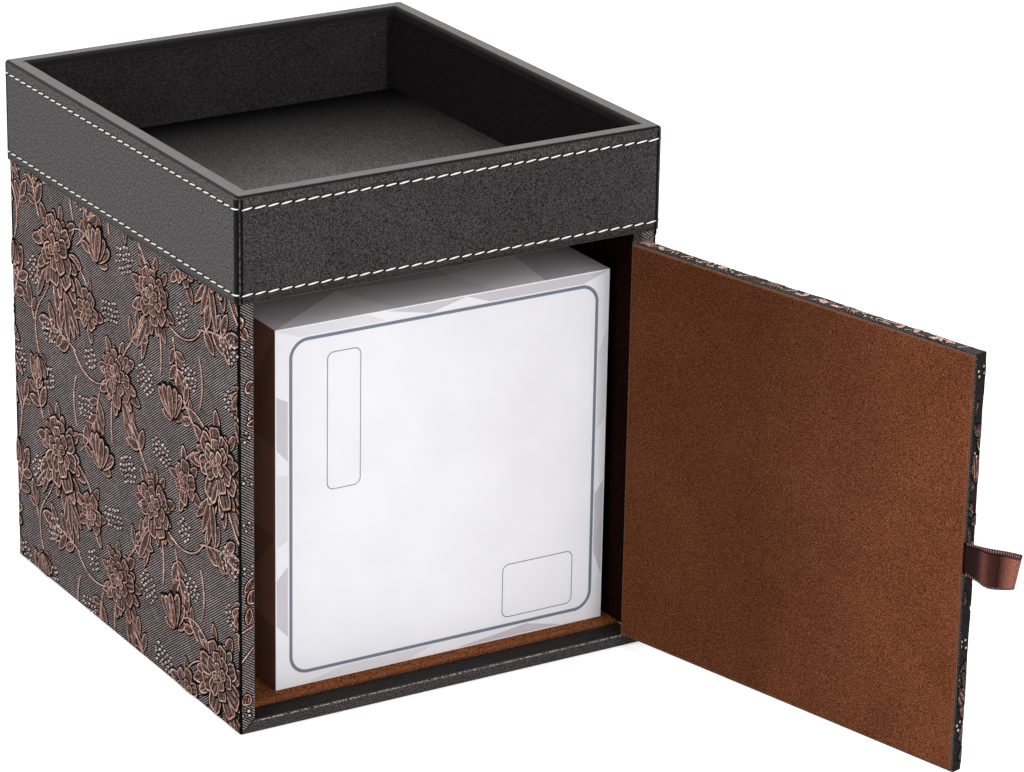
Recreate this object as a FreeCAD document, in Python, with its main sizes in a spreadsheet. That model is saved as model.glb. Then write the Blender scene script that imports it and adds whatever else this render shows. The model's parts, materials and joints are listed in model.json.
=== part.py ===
"""Tissue box with an open tray on top and a side-hinged loading door, in millimetres.

The row frame: the origin is the centre of the underside, +Z is up, the door side faces -Y
and the outlet side faces +Y. The door stands open at rest; its parts are drawn as they lie
in the closed door, from the hinge axis, and turned open by their placements.
"""

import FreeCAD
import Part
import Sketcher
import math
import os
import re

doc = FreeCAD.newDocument("TissueBox")

# ---------------------------------------------------------------- driving dimensions

SIZES = [
    ("board_thickness", 3.0, "fibreboard of walls, door and tray floor"),
    ("base_board_thickness", 2.2, "thinner fibreboard of the base"),
    ("cover_thickness", 0.7, "leathercloth"),
    ("corner_radius", 0.6, "outer corners of the covers"),
    ("side_lining_thickness", 1.0, "velour on card, side and outlet walls"),
    ("floor_lining_thickness", 2.0, "velour on card, compartment floor"),
    ("ceiling_lining_thickness", 0.8, "velour on card, under the tray"),
    ("band_height", 31.1, "leather band round the tray"),
    ("band_overhang", 0.9, "band outside the side covers"),
    ("band_overlap", 8.0, "band over the top of the side covers"),
    ("band_hem_radius", 0.5, "lower edge of the band"),
    ("band_corner_radius", 1.4, "band round the corners of the tray"),
    ("rim_radius", 1.0, "rounded rim"),
    ("rim_turnover", 2.6, "band turned down inside the tray"),
    ("rim_seam", 0.3, "line between the turned band and the tray lining"),
    ("tray_depth", 26.4, "rim to tray mat"),
    ("tray_mat_thickness", 0.8, "tray floor lining"),
    ("outlet_length", 76.0, "tissue outlet, across"),
    ("outlet_width", 34.0, "tissue outlet, up"),
    ("outlet_height", 60.0, "table to the middle of the outlet"),
    ("door_open_angle", 104.0, "door as it stands, from closed"),
    ("door_hinge_gap", 0.35, "door to wall at the hinge"),
    ("door_free_gap", 0.5, "door to wall at the ribbon"),
    ("door_sill_gap", 0.9, "door over the sill"),
    ("door_head_gap", 2.0, "door under the band"),
    ("door_stop_gap", 0.2, "closed door to the linings it stops on"),
    ("door_lining_thickness", 0.8, "velour on card, inside of the door"),
    ("door_lining_inset", 0.7, "bare cover round the door lining"),
    ("hinge_standoff", 0.25, "hinge axis in front of the closed door's face"),
    ("hinge_leaf_width", 10.0, "hinge strip on the door"),
    ("magnet_length", 12.0, "bar magnet, upright"),
    ("magnet_width", 2.2, "bar magnet, through the board"),
    ("magnet_thickness", 1.5, "bar magnet, into the board's edge"),
    ("magnet_low_height", 30.0, "table to the lower pair"),
    ("magnet_high_height", 102.0, "table to the upper pair"),
    ("ribbon_width", 9.5, "satin ribbon"),
    ("ribbon_thickness", 0.2, "one layer"),
    ("ribbon_length", 19.0, "loop outside the door's edge"),
    ("ribbon_tip_radius", 0.8, "outside of the fold at the loop's end"),
    ("ribbon_parting", 6.0, "where the two layers part"),
    ("ribbon_tail", 12.0, "glued between board and lining"),
    ("ribbon_height", 68.5, "table to the middle of the ribbon"),
    ("carton_width", 110.0, "refill carton, across"),
    ("carton_height", 110.0, "refill carton, up"),
    ("carton_depth", 127.0, "refill carton, into the compartment"),
    ("carton_room_left", 12.8, "left lining to carton"),
    ("carton_room_right", 2.8, "carton to right lining"),
    ("carton_room_above", 14.5, "carton to ceiling lining"),
    ("carton_room_behind", 4.9, "carton to outlet lining"),
    ("carton_setback", 11.9, "front edge of the case to the carton"),
    ("carton_board", 0.6, "carton board"),
    ("carton_lift", 0.1, "carton over the floor lining"),
    ("carton_mouth_length", 84.0, "oval mouth, across"),
    ("carton_mouth_width", 40.0, "oval mouth, up"),
    ("tissue_gap", 1.5, "tissues to the carton's sides"),
    ("tissue_headroom", 9.0, "tissues to the carton's mouth"),
    ("tissue_radius", 2.0, "soft corners of the tissues"),
]

sheet = doc.addObject("Spreadsheet::Sheet", "Sizes")
for row, (alias, value, note) in enumerate(SIZES, start=1):
    sheet.set("A%d" % row, alias)
    sheet.set("B%d" % row, str(value))
    sheet.set("C%d" % row, note)
    sheet.setAlias("B%d" % row, alias)

# The case is made round its refill: these follow from the sizes above.
CASE_SIZES = [
    ("case_width", "carton_width + carton_room_left + carton_room_right"
     " + 2 * (board_thickness + cover_thickness + side_lining_thickness)", "over the side covers"),
    ("case_depth", "carton_setback + carton_depth + carton_room_behind"
     " + board_thickness + cover_thickness + side_lining_thickness", "front edge to outlet side"),
    ("case_height", "cover_thickness + base_board_thickness + floor_lining_thickness + carton_lift"
     " + carton_height + carton_room_above + ceiling_lining_thickness + board_thickness"
     " + tray_mat_thickness + tray_depth", "table to rim"),
]
for row, (alias, formula, note) in enumerate(CASE_SIZES, start=len(SIZES) + 1):
    sheet.set("A%d" % row, alias)
    sheet.set("B%d" % row, "=" + formula)
    sheet.set("C%d" % row, note)
    sheet.setAlias("B%d" % row, alias)
doc.recompute()

ALIASES = re.compile(r"\b(%s)\b" % "|".join(size[0] for size in SIZES + CASE_SIZES))

# Lengths that several parts share, written with the sheet's names.
WALL = "(board_thickness + 2 * cover_thickness)"
INSIDE = "(board_thickness + cover_thickness)"
HALF_WIDTH = "(case_width / 2)"
HALF_DEPTH = "(case_depth / 2)"
BAND_BOTTOM = "(case_height - band_height)"
SILL_BOARD_TOP = "(cover_thickness + base_board_thickness)"
SILL_TOP = "(base_board_thickness + 2 * cover_thickness)"
FLOOR_TOP = "(%s + floor_lining_thickness)" % SILL_BOARD_TOP
TRAY_BOARD_TOP = "(case_height - tray_depth - tray_mat_thickness)"
CEILING = "(%s - board_thickness - ceiling_lining_thickness)" % TRAY_BOARD_TOP
DOOR_THICKNESS = "(cover_thickness + board_thickness + door_lining_thickness)"
LEDGE = "(%s + door_stop_gap)" % DOOR_THICKNESS
DOOR_WIDTH = "(case_width - 2 * %s - door_hinge_gap - door_free_gap)" % WALL
DOOR_BOTTOM = "(%s + door_sill_gap)" % SILL_TOP
DOOR_HEIGHT = "(%s - door_head_gap - %s)" % (BAND_BOTTOM, DOOR_BOTTOM)
HINGE_X = "(%s - %s - door_hinge_gap)" % (HALF_WIDTH, WALL)
HINGE_Y = "(-%s - hinge_standoff)" % HALF_DEPTH
DOOR_BOARD_FACE = "(hinge_standoff + cover_thickness)"
DOOR_LINING_FACE = "(hinge_standoff + cover_thickness + board_thickness)"
OUTLET_INSET = "(%s + side_lining_thickness)" % INSIDE


def sized(text):
    """A length written with the sheet's names, as FreeCAD's expressions want it."""
    return ALIASES.sub(r"Sizes.\1", text)


def value_of(alias):
    """The number that the sheet holds under a name."""
    return float(sheet.get(alias))


# ---------------------------------------------------------------- drawing helpers


def new_body(label):
    """An empty body with its file's name."""
    body = doc.addObject("PartDesign::Body", label)
    body.Label = label
    return body


def new_sketch(body, name, plane, lift):
    """An empty sketch on one of the body's own planes, raised along the plane's normal."""
    sketch = body.newObject("Sketcher::SketchObject", name)
    support = [f for f in body.Origin.OriginFeatures if f.Role == plane][0]
    sketch.AttachmentSupport = (support, [""])
    sketch.MapMode = "FlatFace"
    if lift:
        sketch.setExpression("AttachmentOffset.Base.z", sized(lift))
    return sketch


def pin_point(sketch, geometry, point, x, y, guess):
    """Holds one point of the sketch at x, y from its origin."""
    for kind, length, axis, start in (("DistanceX", x, -2, guess.x), ("DistanceY", y, -1, guess.y)):
        if length == "0":
            sketch.addConstraint(Sketcher.Constraint("PointOnObject", geometry, point, axis))
        else:
            held = Sketcher.Constraint(kind, -1, 1, geometry, point, start)
            index = sketch.addConstraint(held)
            sketch.setExpression("Constraints[%d]" % index, sized(length))


def polygon(sketch, points):
    """Adds a closed outline of straight lines through points given as lengths."""
    count = len(points)
    first = sketch.GeometryCount
    turn = 2 * math.pi / count
    guess = [FreeCAD.Vector(9 * math.cos(turn * i), 9 * math.sin(turn * i), 0) for i in range(count)]
    for i in range(count):
        sketch.addGeometry(Part.LineSegment(guess[i], guess[(i + 1) % count]), False)
    for i in range(count):
        meet = Sketcher.Constraint("Coincident", first + i, 2, first + (i + 1) % count, 1)
        sketch.addConstraint(meet)
    for i, (x, y) in enumerate(points):
        pin_point(sketch, first + i, 1, x, y, guess[i])


def rectangle(sketch, x_low, y_low, x_high, y_high):
    """Adds a rectangle between two corners given as lengths."""
    polygon(sketch, [(x_low, y_low), (x_high, y_low), (x_high, y_high), (x_low, y_high)])


def round_slot(sketch, y_middle, length, width):
    """Adds a level slot with round ends, centred on the sketch's upright axis."""
    first = sketch.GeometryCount
    half = "((%s - %s) / 2)" % (length, width)
    reach, radius = 20.0, 8.0
    ends = [FreeCAD.Vector(-reach, 0, 0), FreeCAD.Vector(reach, 0, 0)]
    up = FreeCAD.Vector(0, radius, 0)
    axis = FreeCAD.Vector(0, 0, 1)
    left = Part.ArcOfCircle(Part.Circle(ends[0], axis, radius), math.pi / 2, 3 * math.pi / 2)
    right = Part.ArcOfCircle(Part.Circle(ends[1], axis, radius), -math.pi / 2, math.pi / 2)
    sketch.addGeometry(left, False)
    sketch.addGeometry(Part.LineSegment(ends[0] - up, ends[1] - up), False)
    sketch.addGeometry(right, False)
    sketch.addGeometry(Part.LineSegment(ends[1] + up, ends[0] + up), False)
    for i in range(4):
        after = first + (i + 1) % 4
        sketch.addConstraint(Sketcher.Constraint("Tangent", first + i, 2, after, 1))
    pin_point(sketch, first, 3, "-" + half, y_middle, ends[0] + up)
    pin_point(sketch, first + 2, 3, half, y_middle, ends[1] + up)
    for arc in (first, first + 2):
        index = sketch.addConstraint(Sketcher.Constraint("Radius", arc, radius))
        sketch.setExpression("Constraints[%d]" % index, sized("(%s) / 2" % width))


def pad(body, sketch, length, backwards=False):
    """Raises the sketch by a length."""
    feature = body.newObject("PartDesign::Pad", sketch.Name + "_pad")
    feature.Profile = sketch
    feature.Reversed = backwards
    feature.setExpression("Length", sized(length))
    sketch.Visibility = False
    return feature


def pocket(body, sketch, length=None, backwards=False):
    """Cuts the sketch in by a length, or right through. Not backwards is against the normal."""
    feature = body.newObject("PartDesign::Pocket", sketch.Name + "_cut")
    feature.Profile = sketch
    feature.Reversed = backwards
    if length is None:
        feature.Type = "ThroughAll"
    else:
        feature.setExpression("Length", sized(length))
    return feature


def fillet(body, feature, radius, picked):
    """Rounds those edges of the last feature that the test picks."""
    doc.recompute()
    names = ["Edge%d" % i for i, edge in enumerate(feature.Shape.Edges, start=1) if picked(edge)]
    rounded = body.newObject("PartDesign::Fillet", feature.Name + "_round")
    rounded.Base = (feature, names)
    rounded.setExpression("Radius", sized(radius))
    return rounded


def lies_at(edge, **places):
    """Whether both ends of an edge lie at the given x, y or z."""
    ends = [vertex.Point for vertex in edge.Vertexes]
    return len(ends) == 2 and all(
        abs(getattr(end, axis) - place) < 1e-5 for end in ends for axis, place in places.items()
    )


def place(part, x="0", y="0", z="0", turn=None):
    """Puts a part at x, y, z of the row frame, turned about Z by some degrees."""
    if turn:
        part.Placement = FreeCAD.Placement(
            FreeCAD.Vector(), FreeCAD.Rotation(FreeCAD.Vector(0, 0, 1), 90)
        )
        part.setExpression("Placement.Rotation.Angle", sized(turn))
    for axis, length in (("x", x), ("y", y), ("z", z)):
        part.setExpression("Placement.Base." + axis, sized(length))


def place_on_door(part, x="0", y="0", z="0"):
    """Puts a part at x, y of the closed door, from the hinge axis, and opens it with the door."""
    turned_x = "%s + (%s) * cos(door_open_angle) - (%s) * sin(door_open_angle)"
    turned_y = "%s + (%s) * sin(door_open_angle) + (%s) * cos(door_open_angle)"
    place(part, turned_x % (HINGE_X, x, y), turned_y % (HINGE_Y, x, y), z, "door_open_angle")


def box(label, width, depth, height):
    """A plain board or sheet."""
    part = doc.addObject("Part::Box", label)
    part.Label = label
    part.setExpression("Length", sized(width))
    part.setExpression("Width", sized(depth))
    part.setExpression("Height", sized(height))
    return part


# ---------------------------------------------------------------- base


def make_base():
    """The base board, and the leather over its underside, its mitred front edge and the ledge."""
    board = box(
        "base_board",
        "case_width - 2 * " + INSIDE,
        "case_depth - cover_thickness - " + INSIDE,
        "base_board_thickness",
    )
    place(board, "%s - %s" % (INSIDE, HALF_WIDTH), "cover_thickness - " + HALF_DEPTH, "cover_thickness")

    cover = new_body("base_cover")
    side_view = new_sketch(cover, "base_cover_section", "YZ_Plane", "-(%s - %s)" % (HALF_WIDTH, WALL))
    polygon(side_view, [
        ("0", "0"),
        ("case_depth", "0"),
        ("case_depth", "cover_thickness"),
        ("cover_thickness", "cover_thickness"),
        ("cover_thickness", SILL_BOARD_TOP),
        (LEDGE, SILL_BOARD_TOP),
        (LEDGE, SILL_TOP),
        ("0", SILL_TOP),
    ])
    pad(cover, side_view, "case_width - 2 * " + WALL)
    front = new_sketch(cover, "base_cover_front_edge", "XZ_Plane", None)
    inner = "(%s - %s)" % (HALF_WIDTH, WALL)
    polygon(front, [
        ("-" + HALF_WIDTH, "0"),
        (HALF_WIDTH, "0"),
        (inner, SILL_TOP),
        ("-" + inner, SILL_TOP),
    ])
    edge_pad = pad(cover, front, "cover_thickness", backwards=True)
    long_edge = value_of("case_width") / 2
    fillet(cover, edge_pad, "corner_radius / 2",
           lambda edge: lies_at(edge, y=0) and edge.BoundBox.XLength > long_edge)
    place(cover, "0", "-" + HALF_DEPTH)
    return [board, cover]


# ---------------------------------------------------------------- walls


def magnet_heights():
    """The lower end of each bar magnet."""
    return ["(%s - magnet_length / 2)" % h for h in ("magnet_low_height", "magnet_high_height")]


def make_wall_boards():
    """Side boards from base to rim, with the outlet board between them."""
    left = new_body("left_board")
    blank = new_sketch(left, "left_board_plan", "XY_Plane", None)
    rectangle(blank, "0", "0", "board_thickness", "case_depth - 2 * cover_thickness")
    pad(left, blank, "case_height - 2 * cover_thickness")
    seats = new_sketch(left, "left_board_magnet_seats", "YZ_Plane", "board_thickness")
    for low in magnet_heights():
        margin = "(board_thickness - magnet_width) / 2"
        rectangle(seats, margin, low + " - cover_thickness", margin + " + magnet_width",
                  low + " + magnet_length - cover_thickness")
    pocket(left, seats, "magnet_thickness")
    place(left, "cover_thickness - " + HALF_WIDTH, "cover_thickness - " + HALF_DEPTH, "cover_thickness")

    right = box("right_board", "board_thickness", "case_depth - 2 * cover_thickness",
                "case_height - 2 * cover_thickness")
    place(right, "%s - %s" % (HALF_WIDTH, INSIDE), "cover_thickness - " + HALF_DEPTH, "cover_thickness")

    outlet = new_body("outlet_board")
    front_view = new_sketch(outlet, "outlet_board_face", "XZ_Plane", None)
    half = "(%s - %s)" % (HALF_WIDTH, INSIDE)
    rectangle(front_view, "-" + half, "0", half, "case_height - 2 * cover_thickness")
    pad(outlet, front_view, "board_thickness", backwards=True)
    mouth = new_sketch(outlet, "outlet_board_mouth", "XZ_Plane", None)
    round_slot(mouth, "outlet_height - cover_thickness", "(outlet_length + 2 * cover_thickness)",
               "(outlet_width + 2 * cover_thickness)")
    pocket(outlet, mouth, "board_thickness")
    place(outlet, "0", "%s - %s" % (HALF_DEPTH, INSIDE), "cover_thickness")
    return [left, right, outlet]


def make_side_cover(label, side):
    """Embossed cover of a side wall: its face, its front edge, the turn-in and the bottom edge.

    The front edge is mitred with the leather of the base.
    """
    toward = "-" if side > 0 else ""
    cover = new_body(label)
    face = new_sketch(cover, label + "_face", "XY_Plane", None)
    rectangle(face, "0", "cover_thickness", toward + "cover_thickness", "case_depth")
    pad(cover, face, "%s + band_overlap" % BAND_BOTTOM)
    front = new_sketch(cover, label + "_front_edge", "XY_Plane", None)
    rectangle(front, "0", "0", toward + WALL, "cover_thickness")
    pad(cover, front, BAND_BOTTOM)
    turn_in = new_sketch(cover, label + "_turn_in", "XY_Plane", SILL_BOARD_TOP)
    rectangle(turn_in, toward + INSIDE, "cover_thickness", toward + WALL, LEDGE)
    pad(cover, turn_in, "%s + cover_thickness - %s" % (BAND_BOTTOM, SILL_BOARD_TOP))
    bottom = new_sketch(cover, label + "_bottom_edge", "XY_Plane", None)
    rectangle(bottom, "0", "0", toward + WALL, "case_depth")
    pad(cover, bottom, "cover_thickness")
    mitre = new_sketch(cover, label + "_mitre", "XZ_Plane", None)
    polygon(mitre, [("0", "0"), (toward + WALL, "0"), (toward + WALL, SILL_TOP)])
    last = pocket(cover, mitre, "cover_thickness")
    if side > 0:
        seat = new_sketch(cover, label + "_hinge_seat", "XZ_Plane", None)
        rectangle(seat, "-" + WALL, DOOR_BOTTOM, "-cover_thickness", "%s + %s" % (DOOR_BOTTOM, DOOR_HEIGHT))
        last = pocket(cover, seat, "cover_thickness")
    corner = value_of("case_height") - value_of("band_height")
    fillet(cover, last, "corner_radius", lambda edge: lies_at(edge, x=0, y=0) and edge.Length < corner + 1)
    place(cover, ("%s" if side > 0 else "-%s") % HALF_WIDTH, "-" + HALF_DEPTH)
    return cover


def make_outlet_cover():
    """Embossed cover of the outlet side, turned in through the outlet."""
    cover = new_body("outlet_cover")
    face = new_sketch(cover, "outlet_cover_face", "XZ_Plane", None)
    half = "(%s - cover_thickness)" % HALF_WIDTH
    rectangle(face, "-" + half, "0", half, "%s + band_overlap - cover_thickness" % BAND_BOTTOM)
    pad(cover, face, "cover_thickness", backwards=True)
    lip = new_sketch(cover, "outlet_cover_lip", "XZ_Plane", None)
    middle = "outlet_height - cover_thickness"
    round_slot(lip, middle, "(outlet_length + 2 * cover_thickness)", "(outlet_width + 2 * cover_thickness)")
    pad(cover, lip, "board_thickness")
    mouth = new_sketch(cover, "outlet_cover_mouth", "XZ_Plane", "board_thickness")
    round_slot(mouth, middle, "outlet_length", "outlet_width")
    cut = pocket(cover, mouth)
    back = value_of("cover_thickness")
    fillet(cover, cut, "corner_radius", lambda edge: lies_at(edge, y=back) and edge.Length > 10
           and edge.BoundBox.ZMax < value_of("outlet_height") + value_of("outlet_width")
           and edge.BoundBox.XLength < value_of("outlet_length") + 1 and edge.BoundBox.ZMin > 1)
    place(cover, "0", "%s - cover_thickness" % HALF_DEPTH, "cover_thickness")
    return cover


# ---------------------------------------------------------------- leather band


def make_band():
    """The stitched band: one strip round the tray, rolled over the rim and under the front board."""
    band = new_body("leather_band")
    half_x = "(%s + band_overhang)" % HALF_WIDTH
    half_y = "(%s + band_overhang)" % HALF_DEPTH
    outside = new_sketch(band, "leather_band_outside", "XY_Plane", None)
    rectangle(outside, "-" + half_x, "-" + half_y, half_x, half_y)
    block = pad(band, outside, "band_height")
    tall = value_of("band_height")
    fillet(band, block, "band_corner_radius", lambda edge: edge.BoundBox.ZLength > tall / 2)
    opening = new_sketch(band, "leather_band_opening", "XY_Plane", None)
    inner_x = "(%s - %s)" % (HALF_WIDTH, WALL)
    inner_y = "(%s - %s)" % (HALF_DEPTH, WALL)
    rectangle(opening, "-" + inner_x, "-" + inner_y, inner_x, inner_y)
    ring = pocket(band, opening, backwards=True)
    rim = fillet(band, ring, "rim_radius", lambda edge: lies_at(edge, z=tall))
    reach = value_of("case_width") / 2
    fillet(band, rim, "band_hem_radius", lambda edge: lies_at(edge, z=0)
           and max(abs(edge.Vertexes[0].X), abs(edge.Vertexes[1].X)) > reach - 2)

    boards = new_sketch(band, "leather_band_board_slot", "XY_Plane", None)
    slot_x = "(%s - cover_thickness)" % HALF_WIDTH
    slot_y = "(%s - cover_thickness)" % HALF_DEPTH
    rectangle(boards, "-" + slot_x, "-" + slot_y, slot_x, slot_y)
    core_x = "(%s - %s)" % (HALF_WIDTH, INSIDE)
    core_y = "(%s - %s)" % (HALF_DEPTH, INSIDE)
    rectangle(boards, "-" + core_x, "-" + core_y, core_x, core_y)
    pocket(band, boards, "band_height - cover_thickness", backwards=True)
    lining = new_sketch(band, "leather_band_lining_seat", "XY_Plane", None)
    rectangle(lining, "-" + core_x, "-" + core_y, core_x, core_y)
    pocket(band, lining, "band_height - rim_turnover", backwards=True)
    overlap = new_sketch(band, "leather_band_overlap", "XY_Plane", None)
    polygon(overlap, [
        ("-" + HALF_WIDTH, "-" + slot_y),
        ("-" + slot_x, "-" + slot_y),
        ("-" + slot_x, slot_y),
        (slot_x, slot_y),
        (slot_x, "-" + slot_y),
        (HALF_WIDTH, "-" + slot_y),
        (HALF_WIDTH, HALF_DEPTH),
        ("-" + HALF_WIDTH, HALF_DEPTH),
    ])
    pocket(band, overlap, "band_overlap", backwards=True)
    lip = new_sketch(band, "leather_band_lip", "XY_Plane", None)
    rectangle(lip, "-" + inner_x, "-" + slot_y, inner_x, "-" + inner_y)
    pad(band, lip, "cover_thickness")
    place(band, "0", "0", BAND_BOTTOM)
    return [band]


# ---------------------------------------------------------------- tray and linings


def make_tray():
    """The tray's front board, its floor board, the lining round its walls and its mat."""
    width = "case_width - 2 * " + INSIDE
    depth = "case_depth - 2 * " + INSIDE
    left = "%s - %s" % (INSIDE, HALF_WIDTH)
    front_board = box("tray_front_board", width, "board_thickness", "band_height - 2 * cover_thickness")
    place(front_board, left, "cover_thickness - " + HALF_DEPTH, BAND_BOTTOM + " + cover_thickness")
    floor_board = box("tray_floor_board", width, depth, "board_thickness")
    place(floor_board, left, "%s - %s" % (INSIDE, HALF_DEPTH), TRAY_BOARD_TOP + " - board_thickness")

    lining = new_body("tray_wall_lining")
    ring = new_sketch(lining, "tray_wall_lining_plan", "XY_Plane", None)
    half_x = "(%s - %s)" % (HALF_WIDTH, INSIDE)
    half_y = "(%s - %s)" % (HALF_DEPTH, INSIDE)
    rectangle(ring, "-" + half_x, "-" + half_y, half_x, half_y)
    slim_x = "(%s - cover_thickness)" % half_x
    slim_y = "(%s - cover_thickness)" % half_y
    rectangle(ring, "-" + slim_x, "-" + slim_y, slim_x, slim_y)
    pad(lining, ring, "tray_depth + tray_mat_thickness - rim_turnover - rim_seam")
    place(lining, "0", "0", TRAY_BOARD_TOP)

    mat = box("tray_mat", "case_width - 2 * " + WALL, "case_depth - 2 * " + WALL, "tray_mat_thickness")
    place(mat, "%s - %s" % (WALL, HALF_WIDTH), "%s - %s" % (WALL, HALF_DEPTH), TRAY_BOARD_TOP)
    return [front_board, floor_board, lining, mat]


def make_linings():
    """Velour panels of the compartment. The closed door stops on their front edges."""
    width = "case_width - 2 * " + INSIDE
    depth = "case_depth - %s - %s" % (LEDGE, INSIDE)
    height = "%s - %s" % (CEILING, FLOOR_TOP)
    left = "%s - %s" % (INSIDE, HALF_WIDTH)
    front = "%s - %s" % (LEDGE, HALF_DEPTH)
    floor = box("floor_lining", width, depth, "floor_lining_thickness")
    place(floor, left, front, SILL_BOARD_TOP)
    ceiling = box("ceiling_lining", width, depth, "ceiling_lining_thickness")
    place(ceiling, left, front, CEILING)
    left_side = box("left_lining", "side_lining_thickness", depth, height)
    place(left_side, left, front, FLOOR_TOP)
    right_side = box("right_lining", "side_lining_thickness", depth, height)
    place(right_side, "%s - %s" % (HALF_WIDTH, OUTLET_INSET), front, FLOOR_TOP)

    outlet = new_body("outlet_lining")
    face = new_sketch(outlet, "outlet_lining_face", "XZ_Plane", None)
    half = "(%s - %s)" % (HALF_WIDTH, OUTLET_INSET)
    rectangle(face, "-" + half, "0", half, height)
    pad(outlet, face, "side_lining_thickness", backwards=True)
    mouth = new_sketch(outlet, "outlet_lining_mouth", "XZ_Plane", None)
    round_slot(mouth, "outlet_height - " + FLOOR_TOP, "outlet_length", "outlet_width")
    pocket(outlet, mouth, "side_lining_thickness")
    place(outlet, "0", "%s - %s" % (HALF_DEPTH, OUTLET_INSET), FLOOR_TOP)
    return [floor, ceiling, left_side, right_side, outlet]


# ---------------------------------------------------------------- door


def make_door():
    """The door's board, embossed cover and velour lining."""
    inner_width = "(%s - cover_thickness)" % DOOR_WIDTH
    board = new_body("door_board")
    plan = new_sketch(board, "door_board_plan", "XY_Plane", None)
    rectangle(plan, "-" + inner_width, "0", "-cover_thickness", "board_thickness")
    pad(board, plan, "%s - 2 * cover_thickness" % DOOR_HEIGHT)
    seats = new_sketch(board, "door_board_magnet_seats", "YZ_Plane", "-" + inner_width)
    for low in magnet_heights():
        base = "(%s - %s - cover_thickness)" % (low, DOOR_BOTTOM)
        margin = "(board_thickness - magnet_width) / 2"
        rectangle(seats, margin, base, margin + " + magnet_width", base + " + magnet_length")
    pocket(board, seats, "magnet_thickness", backwards=True)
    tail = new_sketch(board, "door_board_ribbon_seat", "XZ_Plane", "-board_thickness")
    ribbon_low = "(ribbon_height - ribbon_width / 2 - %s)" % DOOR_BOTTOM
    rectangle(tail, "-" + inner_width, ribbon_low + " - cover_thickness", "ribbon_tail - " + DOOR_WIDTH,
              ribbon_low + " + ribbon_width - cover_thickness")
    pocket(board, tail, "2 * ribbon_thickness", backwards=True)
    place_on_door(board, "0", DOOR_BOARD_FACE, DOOR_BOTTOM + " + cover_thickness")

    cover = new_body("door_cover")
    shell = new_sketch(cover, "door_cover_plan", "XY_Plane", None)
    rectangle(shell, "-" + DOOR_WIDTH, "0", "0", INSIDE)
    pad(cover, shell, DOOR_HEIGHT)
    hollow = new_sketch(cover, "door_cover_hollow", "XZ_Plane", "-" + INSIDE)
    rectangle(hollow, "-" + inner_width, "cover_thickness", "-cover_thickness",
              "%s - cover_thickness" % DOOR_HEIGHT)
    pocket(cover, hollow, "board_thickness", backwards=True)
    seat = new_sketch(cover, "door_cover_hinge_seat", "XZ_Plane", None)
    rectangle(seat, "-hinge_leaf_width", "0", "0", DOOR_HEIGHT)
    pocket(cover, seat, "cover_thickness")
    notch = new_sketch(cover, "door_cover_ribbon_notch", "XZ_Plane", "-" + INSIDE)
    rectangle(notch, "-" + DOOR_WIDTH, ribbon_low, "cover_thickness - " + DOOR_WIDTH,
              ribbon_low + " + ribbon_width")
    cut = pocket(cover, notch, "2 * ribbon_thickness", backwards=True)
    free_edge = -(door_number() - 1e-5)
    fillet(cover, cut, "corner_radius", lambda edge: lies_at(edge, y=0) and edge.Length > 20
           and (edge.BoundBox.XMax < free_edge or edge.BoundBox.XLength > 20))
    place_on_door(cover, "0", "hinge_standoff", DOOR_BOTTOM)

    lining = box("door_lining", "%s - 2 * door_lining_inset" % DOOR_WIDTH, "door_lining_thickness",
                 "%s - 2 * door_lining_inset" % DOOR_HEIGHT)
    place_on_door(lining, "door_lining_inset - " + DOOR_WIDTH, DOOR_LINING_FACE,
                  DOOR_BOTTOM + " + door_lining_inset")
    return [board, cover, lining]


def door_number():
    """The door's width as a number."""
    wall = value_of("board_thickness") + 2 * value_of("cover_thickness")
    gaps = value_of("door_hinge_gap") + value_of("door_free_gap")
    return value_of("case_width") - 2 * wall - gaps


def make_hinge():
    """The two glued leaves of the cover strip that hinges the door on the right wall."""
    case_leaf = box("hinge_strip_case", "board_thickness + cover_thickness", "cover_thickness", DOOR_HEIGHT)
    place(case_leaf, "%s - %s" % (HALF_WIDTH, WALL), "-" + HALF_DEPTH, DOOR_BOTTOM)
    door_leaf = box("hinge_strip_door", "hinge_leaf_width", "cover_thickness", DOOR_HEIGHT)
    place_on_door(door_leaf, "-hinge_leaf_width", "hinge_standoff", DOOR_BOTTOM)
    return [case_leaf, door_leaf]


def make_magnets():
    """Two pairs of bar magnets: in the left board's front edge and in the door's free edge."""
    case_bars = []
    door_bars = []
    margin = "(board_thickness - magnet_width) / 2"
    for number, low in enumerate(magnet_heights(), start=1):
        case_bar = box("case_magnet_%d" % number, "magnet_thickness", "magnet_width", "magnet_length")
        place(case_bar, "%s - magnet_thickness - %s" % (INSIDE, HALF_WIDTH),
              "cover_thickness + %s - %s" % (margin, HALF_DEPTH), low)
        case_bars.append(case_bar)
        door_bar = box("door_magnet_%d" % number, "magnet_thickness", "magnet_width", "magnet_length")
        place_on_door(door_bar, "cover_thickness - " + DOOR_WIDTH,
                      "%s + %s" % (DOOR_BOARD_FACE, margin), low)
        door_bars.append(door_bar)
    groups = []
    for label, bars in (("case_magnets", case_bars), ("door_magnets", door_bars)):
        group = doc.addObject("Part::Compound", label)
        group.Label = label
        group.Links = bars
        groups.append(group)
    return groups


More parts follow.
